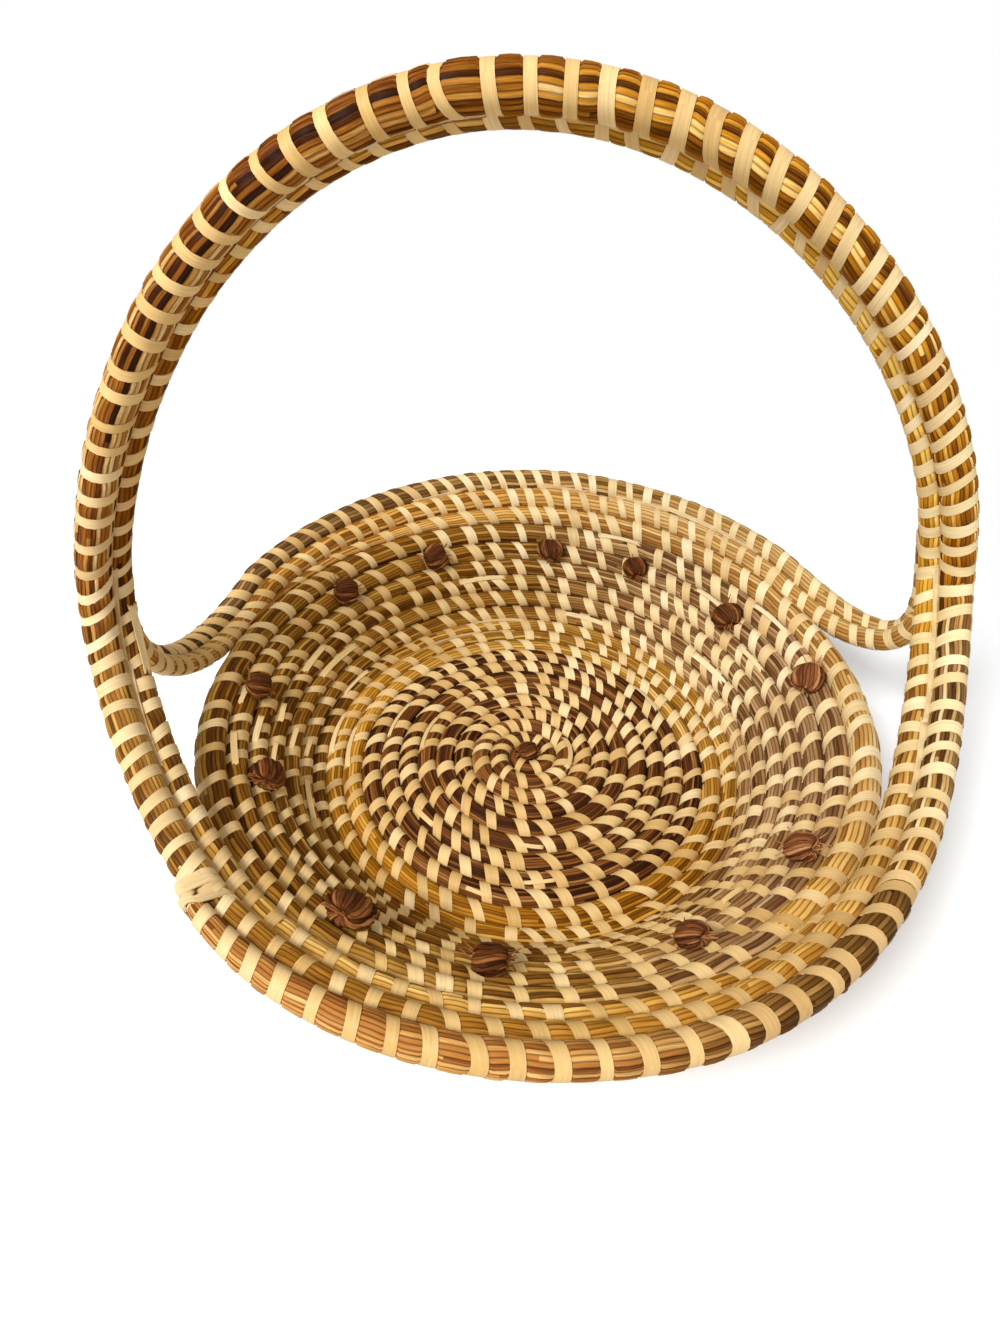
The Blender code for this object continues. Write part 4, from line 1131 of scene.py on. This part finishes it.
# pale paper that takes a soft shadow near the basket and fades to plain white away from it
floorPaint = bpy.data.materials.new("plain white backdrop paper")
floorPaint.use_nodes = True
tree = floorPaint.node_tree
tree.nodes.clear()
output = addNode(tree, "ShaderNodeOutputMaterial")
seen = addNode(tree, "ShaderNodeLightPath").outputs["Is Camera Ray"]
paper = addNode(tree, "ShaderNodeBsdfDiffuse", {"Color": stage["paper"]}).outputs["BSDF"]
bright = addNode(tree, "ShaderNodeBsdfDiffuse", {"Color": stage["white"]}).outputs["BSDF"]
white = addNode(tree, "ShaderNodeEmission", {"Color": stage["white"], "Strength": 1.0}).outputs["Emission"]
place = addNode(tree, "ShaderNodeTexCoord").outputs["Object"]
away = addNode(tree, "ShaderNodeVectorMath", {"operation": "LENGTH"}, {0: place}).outputs["Value"]
fade = mapped(tree, away, stage["fade"], kind="SMOOTHSTEP")
backdrop = addNode(tree, "ShaderNodeMixShader", {}, {0: fade, 1: bright, 2: white}).outputs["Shader"]
both = addNode(tree, "ShaderNodeMixShader", {}, {0: seen, 1: paper, 2: backdrop}).outputs["Shader"]
tree.links.new(both, output.inputs["Surface"])
floor.data.materials.append(floorPaint)

lighting = {"sky": 0.50, "skySeen": 1.0, "aim": (0, 0, 0.06)}
world = bpy.data.worlds.new("studio")
bpy.context.scene.world = world
world.use_nodes = True
tree = world.node_tree
tree.nodes.clear()
output = addNode(tree, "ShaderNodeOutputWorld")
seen = addNode(tree, "ShaderNodeLightPath").outputs["Is Camera Ray"]
strength = mapped(tree, seen, (0.0, 1.0), (lighting["sky"], lighting["skySeen"]))
sky = addNode(tree, "ShaderNodeBackground", {"Color": (1, 1, 1, 1)}, {"Strength": strength})
tree.links.new(sky.outputs["Background"], output.inputs["Surface"])

lamps = (
    ("key", (-0.75, -0.65, 1.25), 0.6, 26.0),
    ("fill", (0.9, -0.7, 0.9), 0.9, 4.0),
)
for name, place, size, power in lamps:
    light = bpy.data.lights.new(name, "AREA")
    light.shape = "DISK"
    light.size = size
    light.energy = power
    lamp = bpy.data.objects.new(name, light)
    bpy.context.scene.collection.objects.link(lamp)
    lamp.location = place
    lamp.rotation_mode = "QUATERNION"
    lamp.rotation_quaternion = (Vector(lighting["aim"]) - Vector(place)).to_track_quat("-Z", "Y")

# degrees down, to the right and rolled, and the focal length and frame height in pixels
view = {
    "place": (-0.0320, -0.2545, 0.3016), "down": 42.64, "turn": 3.9, "roll": 1.2,
    "focal": 780, "frame": 1333, "sensor": 36, "near": 0.01,
}
down, turn, roll = (math.radians(view[key]) for key in ("down", "turn", "roll"))
ahead = Vector((math.sin(turn) * math.cos(down), math.cos(turn) * math.cos(down), -math.sin(down)))
level = Vector((math.cos(turn), -math.sin(turn), 0))
raised = level.cross(ahead)
right = level * math.cos(roll) + raised * math.sin(roll)
upright = raised * math.cos(roll) - level * math.sin(roll)
camera = bpy.data.objects.new("camera", bpy.data.cameras.new("camera"))
bpy.context.scene.collection.objects.link(camera)
camera.data.sensor_width = view["sensor"]
camera.data.lens = view["focal"] * view["sensor"] / view["frame"]
camera.data.clip_start = view["near"]
camera.matrix_world = Matrix((
    (right.x, upright.x, -ahead.x, view["place"][0]), (right.y, upright.y, -ahead.y, view["place"][1]),
    (right.z, upright.z, -ahead.z, view["place"][2]), (0, 0, 0, 1)))
bpy.context.scene.camera = camera
bpy.context.scene.view_settings.view_transform = "Standard"

bpy.context.view_layer.update()
